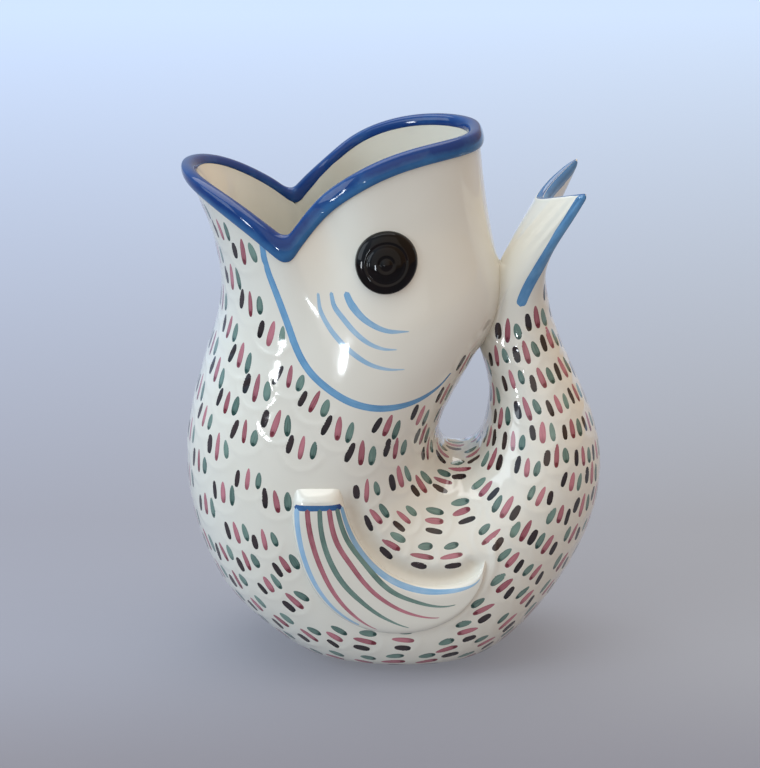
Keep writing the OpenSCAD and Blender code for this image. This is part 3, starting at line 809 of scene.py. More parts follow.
def paint_finish(name, thin, thick, roughness):
    """Brush paint under the glaze: thin along its middle, pooled at its end and its edges."""
    finish = Finish(name, roughness, coat=0.6)
    g = finish.graph
    along, across = g.uv()
    tone = g.attribute("tone")
    place = g.place()
    side = (across * 2 - 1).math("ABSOLUTE")
    streak = g.noise(g.node("ShaderNodeCombineXYZ", {}, {
        0: along * 1.5 + tone * 37.0, 1: across * 7.0, 2: tone * 11.0}), 1.0, 2.0)
    dot = ((along - 0.87) * 2.9) ** 2 + (across - 0.5) ** 2
    load = (along.step(0.6, 0.95) * 0.45 + dot.step(0.09, 0.02) * tone.step(0.2, 0.5) * 0.8
            + side.step(0.4, 0.95) * 0.25 + (streak - 0.5) * 0.9 + (tone - 0.5) * 0.5 + 0.28)
    finish.set("Base Color", g.mix_colour(load.clamped(), linear(thin), linear(thick)))
    finish.bump(g.noise(place, 300.0, 2.0), 0.05, 0.4 * MM)
    return finish.material


def line_finish(name, thin, thick, roughness):
    """Long brush line under the glaze: streaky, and darker where the brush slowed down."""
    finish = Finish(name, roughness, coat=0.6)
    g = finish.graph
    along, across = g.uv()
    place = g.place()
    side = (across * 2 - 1).math("ABSOLUTE")
    streak = g.noise(g.node("ShaderNodeCombineXYZ", {}, {
        0: along * 9.0, 1: across * 4.0}), 1.0, 3.0)
    cloud = g.noise(place, 150.0, 2.0)
    load = 0.35 + (streak - 0.5) * 0.8 + (cloud - 0.5) * 0.8 + side.step(0.5, 1.0) * 0.25 \
        + g.attribute("load")
    finish.set("Base Color", g.mix_colour(load.clamped(), linear(thin), linear(thick)))
    finish.bump(g.noise(place, 300.0, 2.0), 0.05, 0.4 * MM)
    return finish.material


def rim_finish(colours):
    """Cobalt glaze of the rolled lip: it thins and lightens where the roll bends most."""
    finish = Finish("cobalt_glaze", colours.glaze_roughness, coat=0.3, specular=0.3)
    g = finish.graph
    place = g.place()
    thin = g.attribute("thin")
    cloud = g.noise(place, 60.0, 3.0)
    streak = g.noise(place, 260.0, 2.0)
    load = (thin * 0.75 + (cloud - 0.5) * 0.7 + (streak - 0.5) * 0.4).clamped()
    finish.set("Base Color", g.mix_colour(load, linear(colours.cobalt),
                                          linear(colours.cobalt_thin)))
    finish.bump(streak, 0.06, 0.4 * MM)
    return finish.material


def eye_finish(colours):
    """Black-brown glossy glaze of the eyes."""
    finish = Finish("eye_glaze", 0.06, coat=0.1, specular=0.2)
    g = finish.graph
    place = g.place()
    cloud = g.noise(place, 180.0, 3.0)
    finish.set("Base Color", g.mix_colour(cloud.step(0.4, 0.8) * 0.7, linear(colours.eye),
                                          linear(colours.eye_brown)))
    finish.bump(g.noise(place, 220.0, 1.0), 0.04, 0.4 * MM)
    return finish.material


def clay_finish(colours):
    """Bare fired clay of the foot: fine grit and a few darker specks."""
    finish = Finish("bare_clay", 0.8)
    g = finish.graph
    place = g.place()
    grit = g.noise(place, 900.0, 4.0, 0.7)
    speck = g.noise(place, 1600.0, 1.0).step(0.68, 0.74)
    base = g.mix_colour(grit, linear(colours.clay), linear(colours.clay_dark))
    finish.set("Base Color", g.mix_colour(speck * 0.5, base, linear(colours.clay_speck)))
    finish.bump(grit, 0.4, 0.3 * MM)
    return finish.material


# Sizes and colours

def length(name, description, default):
    return bpy.props.FloatProperty(name=name, description=description, default=default,
                                   min=0, unit="LENGTH", subtype="DISTANCE", precision=5)


def colour(name, description, default):
    return bpy.props.FloatVectorProperty(name=name, description=description, default=default,
                                         size=3, min=0, max=1, subtype="COLOR_GAMMA")


class JugSizes(bpy.types.PropertyGroup):
    """Sizes of the jug, the same as in its CAD source."""

    jug_length: length("Length", "From the front of the belly to the back of the tail", 0.181)
    jug_height: length("Height", "Height of the upper lip above the table", 0.230)
    belly_width: length("Belly width", "Width of the belly at its widest", 0.107)
    wall: length("Wall", "Thickness of the clay", 0.0045)
    mouth_width: length("Mouth width", "Width of the mouth at its corners", 0.080)
    notch_depth: length("Notch depth", "Depth of the mouth's corners", 0.032)
    lip_arch: length("Lip arch", "Rise of the upper lip", 0.0022)
    corner_flare: length("Corner flare", "Flare of the mouth's corners", 0.002)
    cheek_pinch: length("Cheek pinch", "How far the cheeks draw in", 0.006)
    lip_rise: length("Lip rise", "Height of the rolled lip above the rim", 0.004)
    lip_skirt: length("Lip skirt", "Height of the rolled lip below the rim", 0.0036)
    lip_overhang: length("Lip overhang", "How far the rolled lip stands out", 0.0018)
    foot_height: length("Foot height", "Height of the foot", 0.003)
    base_soft: length("Base softness", "Softness of the edge round the underside", 0.005)
    tail_width: length("Tail width", "Width of the tail at its narrowest", 0.032)
    gap_width: length("Gap width", "Width of the finger gap", 0.021)
    gap_height: length("Gap height", "Height of the finger gap", 0.044)
    luting_fillet: length("Luting fillet", "Reach of the clay smoothed at the tail's seat", 0.003)
    fluke_span: length("Fluke span", "Distance between the tips of the flukes", 0.061)
    fluke_sweep: length("Fluke sweep", "How far the tips sweep back", 0.016)
    fluke_lift: length("Fluke lift", "How far the tips stand above the fork", 0.0095)
    fluke_edge: length("Fluke edge", "Length of the flukes' rounded edge", 0.0024)
    fin_length: length("Fin length", "Length of a side fin", 0.083)
    fin_height: length("Fin height", "Height of a side fin below its shoulder", 0.060)
    fin_ledge: length("Fin ledge", "Thickness of a side fin at its ledge", 0.0045)
    fin_tip: length("Fin tip", "Thickness of a side fin towards its tip", 0.0024)
    eye_diameter: length("Eye diameter", "Diameter of an eye", 0.026)
    eye_thickness: length("Eye thickness", "Thickness of an eye in its middle", 0.0044)
    eye_rim: length("Eye rim", "Thickness of an eye at its rim", 0.0014)
    eye_groove: length("Eye groove", "Depth of the groove in an eye", 0.0005)


class PaintSizes(bpy.types.PropertyGroup):
    """Sizes of the brush marks and of the low relief."""

    dab_length: length("Dab length", "Length of a brush dab", 0.0098)
    dab_width: length("Dab width", "Width of a brush dab", 0.0035)
    dab_gap: length("Dab gap", "Distance between the dabs of a group", 0.0051)
    tail_dab_gap: length("Tail dab gap", "Distance between dabs on the tail", 0.0043)
    line_gap: length("Line gap", "Distance from a painted line to the middle of a group", 0.0083)
    group_length: length("Group length", "Distance between groups down the belly", 0.0208)
    group_width: length("Group width", "Distance between groups across the belly", 0.0134)
    tail_group_length: length("Tail group length", "Distance between groups up the tail", 0.0140)
    tail_group_width: length("Tail group width", "Distance between groups across it", 0.0087)
    scale_height: length("Scale height", "Height of the fish-scale ridges", 0.00018)
    hollow_width: length("Hollow width", "Width of the hollow behind a side fin", 0.0085)
    hollow_depth: length("Hollow depth", "Depth of the hollow behind a side fin", 0.0013)
    crease_height: length("Crease height", "Height of the crease behind a side fin", 0.0006)
    paint_height: length("Paint height", "Height of the paint above the clay", 0.00005)


class GlazeColours(bpy.types.PropertyGroup):
    """Colours of the glazes, the paint and the studio, as they are seen."""

    glaze: colour("Glaze", "Cream glaze", (0.908, 0.893, 0.843))
    glaze_warm: colour("Glaze, warm", "Warmer clouds in the cream glaze", (0.885, 0.865, 0.808))
    # Warmer, darker colour inside the mouth: painted shade
    glaze_inside: colour("Glaze inside", "Glaze inside the mouth", (0.860, 0.820, 0.745))
    # Pooled glaze colour, which is also painted shade in the hollows and at the tail's seat
    glaze_pooled: colour("Glaze, pooled", "Glaze pooled in the hollows", (0.770, 0.710, 0.600))
    glaze_roughness: bpy.props.FloatProperty(name="Glaze roughness", default=0.07, min=0, max=1,
                                             description="Roughness of the glazes")
    cobalt: colour("Cobalt", "Cobalt glaze of the lip", (0.020, 0.210, 0.460))
    cobalt_thin: colour("Cobalt, thin", "Cobalt glaze where it is thin", (0.240, 0.460, 0.650))
    pale_blue: colour("Pale blue", "Thin blue lines", (0.680, 0.790, 0.870))
    line_blue: colour("Line blue", "Blue lines", (0.450, 0.650, 0.800))
    red: colour("Rose red", "Red dabs where they are thin", (0.780, 0.500, 0.540))
    red_pooled: colour("Rose red, pooled", "Red dabs where they pool", (0.440, 0.140, 0.190))
    green: colour("Leaf green", "Green dabs where they are thin", (0.480, 0.590, 0.545))
    green_pooled: colour("Leaf green, pooled", "Green dabs where they pool", (0.120, 0.260, 0.230))
    black: colour("Black", "Black dabs where they are thin", (0.210, 0.160, 0.165))
    black_pooled: colour("Black, pooled", "Black dabs where they pool", (0.050, 0.035, 0.040))
    eye: colour("Eye", "Glaze of the eyes", (0.030, 0.020, 0.020))
    eye_brown: colour("Eye, brown", "Brown clouds in the eyes", (0.090, 0.045, 0.040))
    clay: colour("Clay", "Bare clay", (0.80, 0.74, 0.64))
    clay_dark: colour("Clay, dark", "Darker grit in the clay", (0.68, 0.60, 0.50))
    clay_speck: colour("Clay speck", "Iron specks in the clay", (0.36, 0.28, 0.22))
    floor_left: colour("Floor, left", "Floor on the left", (0.590, 0.602, 0.655))
    floor_right: colour("Floor, right", "Floor on the right", (0.600, 0.600, 0.615))
    # Darker floor in front of the jug: painted shade
    floor_near_shade: colour("Floor, near", "Floor in front of the jug", (0.520, 0.515, 0.545))
    floor_glow: colour("Floor glow", "Light that the floor far behind shows", (0.60, 0.70, 0.82))
    sky_left: colour("Light, left", "Light of the room from the left", (0.78, 0.90, 1.0))
    sky_right: colour("Light, right", "Light of the room from the right", (0.84, 0.72, 0.60))


# The jug on the bench

SIDE_COLUMNS = 130
BODY_ROWS, INNER_ROWS = 300, 36
TAIL_ROWS, TAIL_INNER_ROWS = 100, 16
FAN_ROWS, EDGE_ROWS = 44, 12
LUTING_HEIGHT = 0.9 * MM
BENCH = {}


class Bench:
    """The form, the side fin, the plan of the dabs and the skin for the present sizes."""

    def __init__(self, sizes, paint):
        self.sizes, self.paint = sizes, paint
        self.form = JugForm(sizes)
        self.fin = SideFin(self.form)
        self.plan = DabPlan(self.form, self.fin, paint)
        self.skin = Skin(self.form, self.fin, self.plan, paint)


def bench(context):
    """The bench for the present sizes, set up once."""
    groups = (context.scene.jug_sizes, context.scene.jug_paint)
    key = tuple(getattr(group, name) for group in groups for name in type(group).__annotations__)
    if key not in BENCH:
        BENCH[key] = Bench(*groups)
    return BENCH[key]


def finish_of(context, name, make, *details):
    """The material of that name, made on first use."""
    found = bpy.data.materials.get(name)
    return found or make(context.scene.jug_colours, *details)


def loop_places(side_columns):
    """Loop places of the columns, one of which falls on the corner of the mouth."""
    corner = float(chord_place(NOTCH_SHARE))
    step = round(side_columns * corner)
    side = np.concatenate([np.linspace(0, corner, step, endpoint=False),
                           np.linspace(corner, 1, side_columns - step + 1)])
    return np.concatenate([side, 2 - side[-2:0:-1]])


class JUG_OT_body(bpy.types.Operator):
    """Build the hollow body and the tail handle as one seamless skin in two pieces"""

    bl_idname = "jug.build_body"
    bl_label = "Body and tail"
    SEAM_SIDE, SEAM_STATIONS, SEAM_THINNING = 0.3, (2, 8), 4
    SEAM_GAP, SEAM_DROP, SEAM_REACH = 0.6 * MM, 9 * MM, 4.5 * MM

    def seam(self, form, u, p, points):
        """How much glaze has pooled where the tail is luted to the back of the head; its darker colour
        there is also painted shade.
        """
        inner = np.abs(p - 1) < self.SEAM_SIDE
        tail = (u > SEAT) & (u < FAN) & inner
        gap = points[..., 0] - form.head_back(np.abs(points[..., 1]), points[..., 2])
        seam = points[tail & (gap < self.SEAM_GAP)]
        head = (u < self.SEAM_STATIONS[1]) & (u > self.SEAM_STATIONS[0]) & inner
        near = (tail | head) & (points[..., 2] > seam[:, 2].min() - self.SEAM_DROP)
        away = points[near][:, None] - seam[None, ::self.SEAM_THINNING]
        pooled = np.zeros(u.shape)
        pooled[near] = bell(np.sqrt((away**2).sum(-1)).min(1) / self.SEAM_REACH)
        return pooled

    def execute(self, context):
        b = bench(context)
        form, wall = b.form, b.sizes.wall
        glaze = finish_of(context, "cream_glaze", white_glaze)
        p = loop_places(SIDE_COLUMNS)
        rim = form.rim_station(p)
        share = np.linspace(0, 1, BODY_ROWS + 1)[:, None]
        step = (FAN - TAIL) / TAIL_ROWS
        tail = (TAIL + step * np.arange(1, TAIL_ROWS + 2))[:, None] + 0 * p
        u = np.vstack([mix(rim, TAIL, share), tail])
        plain = form.fan_point(u, p)
        height, seam = b.skin.relief(u, plain), self.seam(form, u, p, plain)
        points = plain + (height + LUTING_HEIGHT * seam)[..., None] * form.axes(u, p)[2]
        normals = grid_normals(points)
        # Share of the pooled glaze colour, partly painted shade: deep in the hollows behind the side
        # fins and along the seam of the tail
        pooled = np.clip(-height / b.paint.hollow_depth + 0.8 * seam, 0, 1)

        body = Piece("jug_body")
        outer = body.add(points[:BODY_ROWS + 1], normals[:BODY_ROWS + 1],
                         pooled=pooled[:BODY_ROWS + 1])
        share = np.linspace(0, 1, INNER_ROWS + 1)[:, None]
        lining = form.point(mix(rim, TAIL, share), p, wall)
        inner = body.add(lining, -grid_normals(lining), inside=1.0)
        body.face(grid_faces(outer, closed=True))
        body.face(grid_faces(inner, closed=True, turned=True))
        body.face(grid_faces(np.stack([inner[0], outer[0]]), closed=True))
        body.face(grid_faces(np.stack([outer[-1], inner[-1]]), closed=True))
        body.build(glaze, ["body_shell"])

        piece = Piece("jug_tail")
        last = slice(BODY_ROWS, BODY_ROWS + TAIL_ROWS + 1)
        outer = piece.add(points[last], normals[last], pooled=pooled[last])
        u = np.linspace(TAIL, CHAMBER, TAIL_INNER_ROWS + 1)[:, None] + 0 * p
        lining = form.point(u, p, wall)
        inner = piece.add(lining, -grid_normals(lining), inside=1.0)
        up = unit(points[last][-1].mean(0) - points[last][-3].mean(0))
        lid = piece.add(points[last][-1].mean(0), up)
        vault = piece.add(lining[-1].mean(0), -up)
        piece.face(grid_faces(outer, closed=True))
        piece.face(grid_faces(inner, closed=True, turned=True))
        piece.face(grid_faces(np.stack([inner[0], outer[0]]), closed=True))
        piece.face(fan_faces(outer[-1], int(lid)))
        piece.face(fan_faces(inner[-1], int(vault), turned=True))
        piece.build(glaze, ["tail_handle"])
        return {"FINISHED"}


class JUG_OT_fan(bpy.types.Operator):
    """Build the two flukes of the tail fin"""

    bl_idname = "jug.build_fan"
    bl_label = "Tail fin"

    def execute(self, context):
        b = bench(context)
        count = 2 * SIDE_COLUMNS
        p = np.arange(count) / SIDE_COLUMNS
        u = np.concatenate([np.linspace(FAN, TOP, FAN_ROWS + 1),
                            TOP + np.linspace(0, 1, EDGE_ROWS + 1)[1:]])[:, None] + 0 * p
        points = b.form.fluted_point(u, p)
        normals = grid_normals(points)
        normals[:1] = b.form.axes(u[:1], p[None])[2]
        normals[-1] = unit((points[-1] - points[-2]).mean(0))
        fan = Piece("fluke_fan")
        numbers = fan.add(points, normals)
        place = np.arange(count)
        partner = np.where(place <= SIDE_COLUMNS, SIDE_COLUMNS - place, 3 * SIDE_COLUMNS - place)
        quarter = SIDE_COLUMNS // 2
        folded = (place > quarter) & (place < SIDE_COLUMNS + quarter)
        numbers[-1] = numbers[-1][np.where(folded, partner % count, place)]
        base = fan.add(points[0].mean(0), -unit(points[1].mean(0) - points[0].mean(0)))
        fan.face(grid_faces(numbers, closed=True))
        fan.face(fan_faces(numbers[0], int(base), turned=True))
        fan.build(finish_of(context, "cream_glaze", white_glaze), ["tail_fin"])
        return {"FINISHED"}


# Section of the rolled lip. The columns are shares of the wall and the overhang,
# outward, and of the rise and the skirt, upward
LIP_SHARES = ((-1, 0, 0, -0.1), (-1, 0, 0.45, 0), (-0.82, 0, 0.84, 0), (-0.45, 0, 1, 0),
              (0, 0.05, 0.92, 0), (0, 0.62, 0.58, 0), (0, 0.95, 0.08, 0), (0, 1, 0, -0.45),
              (0, 0.72, 0, -0.86), (0, 0.3, 0, -1), (0, -0.15, 0, -0.95), (-0.5, 0, 0, -0.3))
LIP_STEPS = 60
LIP_COLUMNS = 190
EDGE_PROBE = 0.2
EDGE_TURN = 0.01


class JUG_OT_lip(bpy.types.Operator):
    """Sweep the rolled cobalt lip round the edge of the mouth"""

    bl_idname = "jug.build_lip"
    bl_label = "Lip"

    def edge_rate(self, form, p):
        """Stations per unit of height, square to the mouth's edge, at loop places p."""
        side = np.where(p > 1, 2 - p, p)
        u = form.rim_station(side)
        start = form.point(u, side)
        turn = np.where(side > float(chord_place(NOTCH_SHARE)), EDGE_TURN, -EDGE_TURN)
        edge = form.point(form.rim_station(side + turn), side + turn) - start
        up = form.point(u - EDGE_PROBE, side) - start
        rate = EDGE_PROBE * np.linalg.norm(edge, axis=-1) / np.linalg.norm(
            np.cross(edge, up), axis=-1)
        return sum(np.roll(rate, k) for k in range(-3, 4)) / 7

    def execute(self, context):
        b = bench(context)
        s, p = b.sizes, loop_places(LIP_COLUMNS)
        shares = np.array(LIP_SHARES)
        rows = np.column_stack([shares[:, 0] * s.wall + shares[:, 1] * s.lip_overhang,
                                shares[:, 2] * s.lip_rise + shares[:, 3] * s.lip_skirt])
        ends = np.vstack([rows[-2:], rows, rows[:2]])
        around = curve_through(ends, (len(ends) - 1) * LIP_STEPS // len(rows) + 1)
        first = 2 * LIP_STEPS // len(rows)
        section = around[first:first + LIP_STEPS]
        rate = self.edge_rate(b.form, p)
        u = b.form.rim_station(p) - section[:, 1:] * rate
        points = np.stack([b.form.point(row, p, -out) for row, out in zip(u, section[:, 0])])
        points = sum(np.roll(points, k, 1) for k in range(-4, 5)) / 9
        down = np.roll(points, -1, 0) - np.roll(points, 1, 0)
        across = np.roll(points, -1, 1) - np.roll(points, 1, 1)
        normals = unit(np.cross(down, across))
        thin = np.clip(bell((section[:, :1] - s.lip_overhang) / (0.8 * MM))
                       * smooth(2 * MM, -2 * MM, section[:, 1:])
                       + 0.5 * smooth(-0.7, -1.0, section[:, 1:] / s.lip_skirt), 0, 1)
        lip = Piece("jug_lip")
        numbers = lip.add(points, normals, thin=thin + 0 * p)
        lip.face(grid_faces(np.vstack([numbers, numbers[:1]]), closed=True))
        lip.build(finish_of(context, "cobalt_glaze", rim_finish), ["lip_bead"])
        return {"FINISHED"}


FIN_ROWS, FIN_COLUMNS = 150, 90
FIN_SINK = 0.9 * MM


class JUG_OT_fins(bpy.types.Operator):
    """Build the two side fins, each with its rounded shoulder"""

    bl_idname = "jug.build_fins"
    bl_label = "Side fins"

    def execute(self, context):
        b = bench(context)
        t = chord_share(np.linspace(0, 1, FIN_ROWS + 1))[:, None]
        q = chord_share(np.linspace(0, 1, FIN_COLUMNS + 1))[None, :]
        top, under = b.fin.point(t, q), b.fin.point(t, q, drop=FIN_SINK)
        for name, turned in (("left", False), ("right", True)):
            piece = Piece(name + "_side_fin")
            outer = piece.add(mirrored(top) if turned else top)
            inner = piece.add(mirrored(under) if turned else under)
            for edge in (np.s_[0], np.s_[-1], np.s_[:, 0], np.s_[:, -1]):
                inner[edge] = outer[edge]
            piece.face(grid_faces(outer, turned=turned))
            piece.face(grid_faces(inner, turned=not turned))
            piece.build(finish_of(context, "cream_glaze", white_glaze),
                        [name + "_pectoral_fin"])
        return {"FINISHED"}


EYE_SIDES = 96
EYE_RINGS = (0.04, 0.08, 0.12, 0.15, 0.18, 0.21, 0.24, 0.28, 0.34, 0.40, 0.45, 0.49, 0.52, 0.55,
             0.58, 0.61, 0.64, 0.67, 0.70, 0.74, 0.78, 0.83, 0.88, 0.92, 0.95, 0.975, 0.99, 1.0)
GROOVE_PLACE_SHARE, GROOVE_REACH_SHARE = 0.62, 0.055
BUTTON_SHARE, BUTTON_REACH_SHARE, DIMPLE_REACH_SHARE = 0.2, 0.05, 0.12
EYE_EDGE_SHARE, EYE_EDGE_REACH_SHARE, EYE_EDGE_BEND = 1.004, 0.05, 0.4
EYE_SINK = 0.8 * MM
OUTWARD = np.array([0.0, -1.0, 0.0])


class JUG_OT_eyes(bpy.types.Operator):
    """Build the two domed eyes, each with a groove and a small button"""

    bl_idname = "jug.build_eyes"
    bl_label = "Eyes"

    def height(self, sizes, q):
        """Height of an eye above the head at a share of its radius."""
        dome = mix(sizes.eye_rim, sizes.eye_thickness, np.sqrt(np.maximum(0, 1 - q * q)))
        groove = sizes.eye_groove * bell((q - GROOVE_PLACE_SHARE) / GROOVE_REACH_SHARE)
        ring = bell((q - BUTTON_SHARE) / BUTTON_REACH_SHARE)
        button = sizes.eye_groove * (ring - bell(q / DIMPLE_REACH_SHARE)) * 0.5
        edge = ((EYE_EDGE_SHARE - q) / EYE_EDGE_REACH_SHARE) ** EYE_EDGE_BEND
        return dome * np.minimum(1, edge) - groove - button

    def execute(self, context):
        b = bench(context)
        s = b.sizes
        x0, z0 = EYE_PLACE_SHARES[0] * s.jug_length, EYE_PLACE_SHARES[1] * s.jug_height
        q = np.array(EYE_RINGS)[:, None]
        turn = -2 * np.pi * np.arange(EYE_SIDES) / EYE_SIDES
        seat = b.form.side_point(x0 + q * np.cos(turn) * s.eye_diameter / 2,
                                 z0 + q * np.sin(turn) * s.eye_diameter / 2)
        centre = b.form.side_point(np.array(x0), np.array(z0))
        for name, turned in (("left", False), ("right", True)):
            flip = mirrored if turned else (lambda points: points)
            eye = Piece(name + "_eyeball")
            top = eye.add(flip(seat + self.height(s, q)[..., None] * OUTWARD))
            sunk = eye.add(flip(seat[-1] - EYE_SINK * OUTWARD))
            pole = eye.add(flip(centre + self.height(s, np.zeros(1)) * OUTWARD))
            floor = eye.add(flip(centre - EYE_SINK * OUTWARD))
            eye.face(grid_faces(np.vstack([top, sunk]), closed=True, turned=not turned))
            eye.face(fan_faces(top[0], int(pole), turned=turned))
            eye.face(fan_faces(sunk, int(floor), turned=not turned))
            eye.build(finish_of(context, "eye_glaze", eye_finish),
                      [name + "_eye"])
        return {"FINISHED"}


class JUG_OT_foot(bpy.types.Operator):
    """Give the CAD foot its bare clay"""

    bl_idname = "jug.finish_foot"
    bl_label = "Foot"

    def execute(self, context):
        clay = finish_of(context, "bare_clay", clay_finish)
        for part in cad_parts["foot"].material_slots:
            part.material = clay
        return {"FINISHED"}


# Brush dabs

DAB_STEPS = (0.012, 0.045, 0.10, 0.19, 0.31, 0.44, 0.57, 0.70, 0.82, 0.91, 0.96, 0.99)
DAB_ACROSS = 7
TURNED_STATION = 20.5
DAB_SEED = 11
DAB_TURN = math.radians(9)
DAB_SLIDE, DAB_SLANT, TAIL_DAB_SHARE = 0.5 * MM, 0.07, 0.86
UPWARD = 0.3
# Colour of the dabs: place in a group from the outer rail inward, length and width as
# shares of a plain dab, how far it starts up the flow as a share of its length, and how
# it narrows to its start and to its end, where 0.5 is an ellipse and more is sharper
DABS = (("black", -1, 0.86, 0.93, 0.0, 0.34, 0.30), ("red", 0, 1.16, 0.86, 0.05, 0.52, 0.34),
        ("green", 1, 0.90, 1.02, 0.0, 0.58, 0.46))


def dab_shape(start_bend, end_bend):
    """One flat dab, one long and one wide, that lies along X from its start to its end."""
    s = np.array(DAB_STEPS)[:, None]
    v = np.linspace(-1, 1, DAB_ACROSS)[None, :]
    width = s**start_bend * (1 - s) ** end_bend
    width = width / width.max()
    dab = Piece("dab_shape")
    flat = np.stack([s - 0.5 + 0 * v, width * v / 2, 0 * s * v], -1)
    rows = dab.add(flat, uv=np.stack([s + 0 * v, (v + 1) / 2 + 0 * s], -1),
                   lift=(1 - v**4) * np.minimum(1, width * 1.2))
    start = dab.add(np.array([-0.5, 0, 0]), uv=np.array([0, 0.5]))
    end = dab.add(np.array([0.5, 0, 0]), uv=np.array([1, 0.5]))
    dab.face(grid_faces(rows))
    dab.face([(rows[0, k], rows[0, k + 1], start) for k in range(DAB_ACROSS - 1)])
    dab.face([(rows[-1, k + 1], rows[-1, k], end) for k in range(DAB_ACROSS - 1)])
    return dab.mesh()


class DabTree:
    """Geometry nodes that lay one dab on every point and press it onto the skin."""

    INPUTS = (("Dab", "NodeSocketObject"), ("Body", "NodeSocketObject"),
              ("Tail", "NodeSocketObject"), ("Length", "NodeSocketFloat"),
              ("Width", "NodeSocketFloat"), ("Height", "NodeSocketFloat"),
              ("Turn", "NodeSocketFloat"), ("Seed", "NodeSocketInt"),
              ("Paint", "NodeSocketMaterial"))
    SINK = 0.02 * MM

    def __init__(self):
        self.tree = bpy.data.node_groups.new("brush_dabs", "GeometryNodeTree")
        face = self.tree.interface
        face.new_socket("Geometry", in_out="OUTPUT", socket_type="NodeSocketGeometry")
        face.new_socket("Geometry", in_out="INPUT", socket_type="NodeSocketGeometry")
        self.names = {name: face.new_socket(name, in_out="INPUT", socket_type=kind).identifier
                      for name, kind in self.INPUTS}
        self.g = Graph(self.tree)
        self.enter = self.tree.nodes.new("NodeGroupInput")
        self.wire()

    def given(self, name):
        return Value(self.g, self.enter.outputs[name])

    def random(self, low, high, salt):
        return self.g.node("FunctionNodeRandomValue", {"data_type": "FLOAT"},
                           {2: low, 3: high, 8: self.given("Seed") + salt}, 1)

    def named(self, name, kind="FLOAT_VECTOR"):
        return self.g.node("GeometryNodeInputNamedAttribute", {"data_type": kind},
                           {"Name": name})

    def wire(self):
        g = self.g
        shape = g.node("GeometryNodeObjectInfo", {}, {"Object": self.given("Dab")}, "Geometry")
        turn = g.node("FunctionNodeAlignRotationToVector", {"axis": "Z"},
                      {"Vector": self.named("facing")})
        turn = g.node("FunctionNodeAlignRotationToVector", {"axis": "X", "pivot_axis": "Z"},
                      {"Rotation": turn, "Vector": self.named("along")})
        angle = self.random(-1.0, 1.0, 1) * self.given("Turn")
        twist = g.node("FunctionNodeAxisAngleToRotation", {},
                       {"Axis": (0, 0, 1), "Angle": angle})
        turn = g.node("FunctionNodeRotateRotation", {"rotation_space": "LOCAL"},
                      {"Rotation": turn, "Rotate By": twist})
        size = self.named("size", "FLOAT")
        scale = g.node("ShaderNodeCombineXYZ", {}, {
            0: self.given("Length") * size * self.random(0.86, 1.14, 2),
            1: self.given("Width") * self.random(0.84, 1.14, 3), 2: 1.0})
        dabs = g.node("GeometryNodeInstanceOnPoints", {}, {
            "Points": self.given("Geometry"), "Instance": shape, "Rotation": turn,
            "Scale": scale})
        dabs = g.node("GeometryNodeStoreNamedAttribute",
                      {"data_type": "FLOAT", "domain": "INSTANCE"},
                      {"Geometry": dabs, "Name": "tone", "Value": self.random(0.0, 1.0, 4)})
        dabs = g.node("GeometryNodeRealizeInstances", {}, {"Geometry": dabs})
        parts = [g.node("GeometryNodeObjectInfo", {}, {"Object": self.given(name)}, "Geometry")
                 for name in ("Body", "Tail")]
        join = g.tree.nodes.new("GeometryNodeJoinGeometry")
        for part in parts:
            g.tree.links.new(part.socket, join.inputs[0])
        skin = Value(g, join.outputs[0])
        nearest = g.node("GeometryNodeProximity", {"target_element": "FACES"}, {0: skin})
        normal = g.node("GeometryNodeInputNormal")
        facing = g.node("GeometryNodeSampleNearestSurface", {"data_type": "FLOAT_VECTOR"},
                        {"Mesh": skin, "Value": normal})
        rise = self.named("lift", "FLOAT") * (self.given("Height") + self.SINK) - self.SINK
        lifted = g.node("ShaderNodeVectorMath", {"operation": "SCALE"},
                        {0: facing, "Scale": rise})
        place = g.node("ShaderNodeVectorMath", {"operation": "ADD"}, {0: nearest, 1: lifted})
        dabs = g.node("GeometryNodeSetPosition", {}, {"Geometry": dabs, "Position": place})
        dabs = g.node("GeometryNodeStoreNamedAttribute",
                      {"data_type": "FLOAT_VECTOR", "domain": "POINT"},
                      {"Geometry": dabs, "Name": "skin_normal", "Value": facing})
        dabs = g.node("GeometryNodeSetMaterial", {},
                      {"Geometry": dabs, "Material": self.given("Paint")})
        leave = self.tree.nodes.new("NodeGroupOutput")
        self.tree.links.new(dabs.socket, leave.inputs[0])


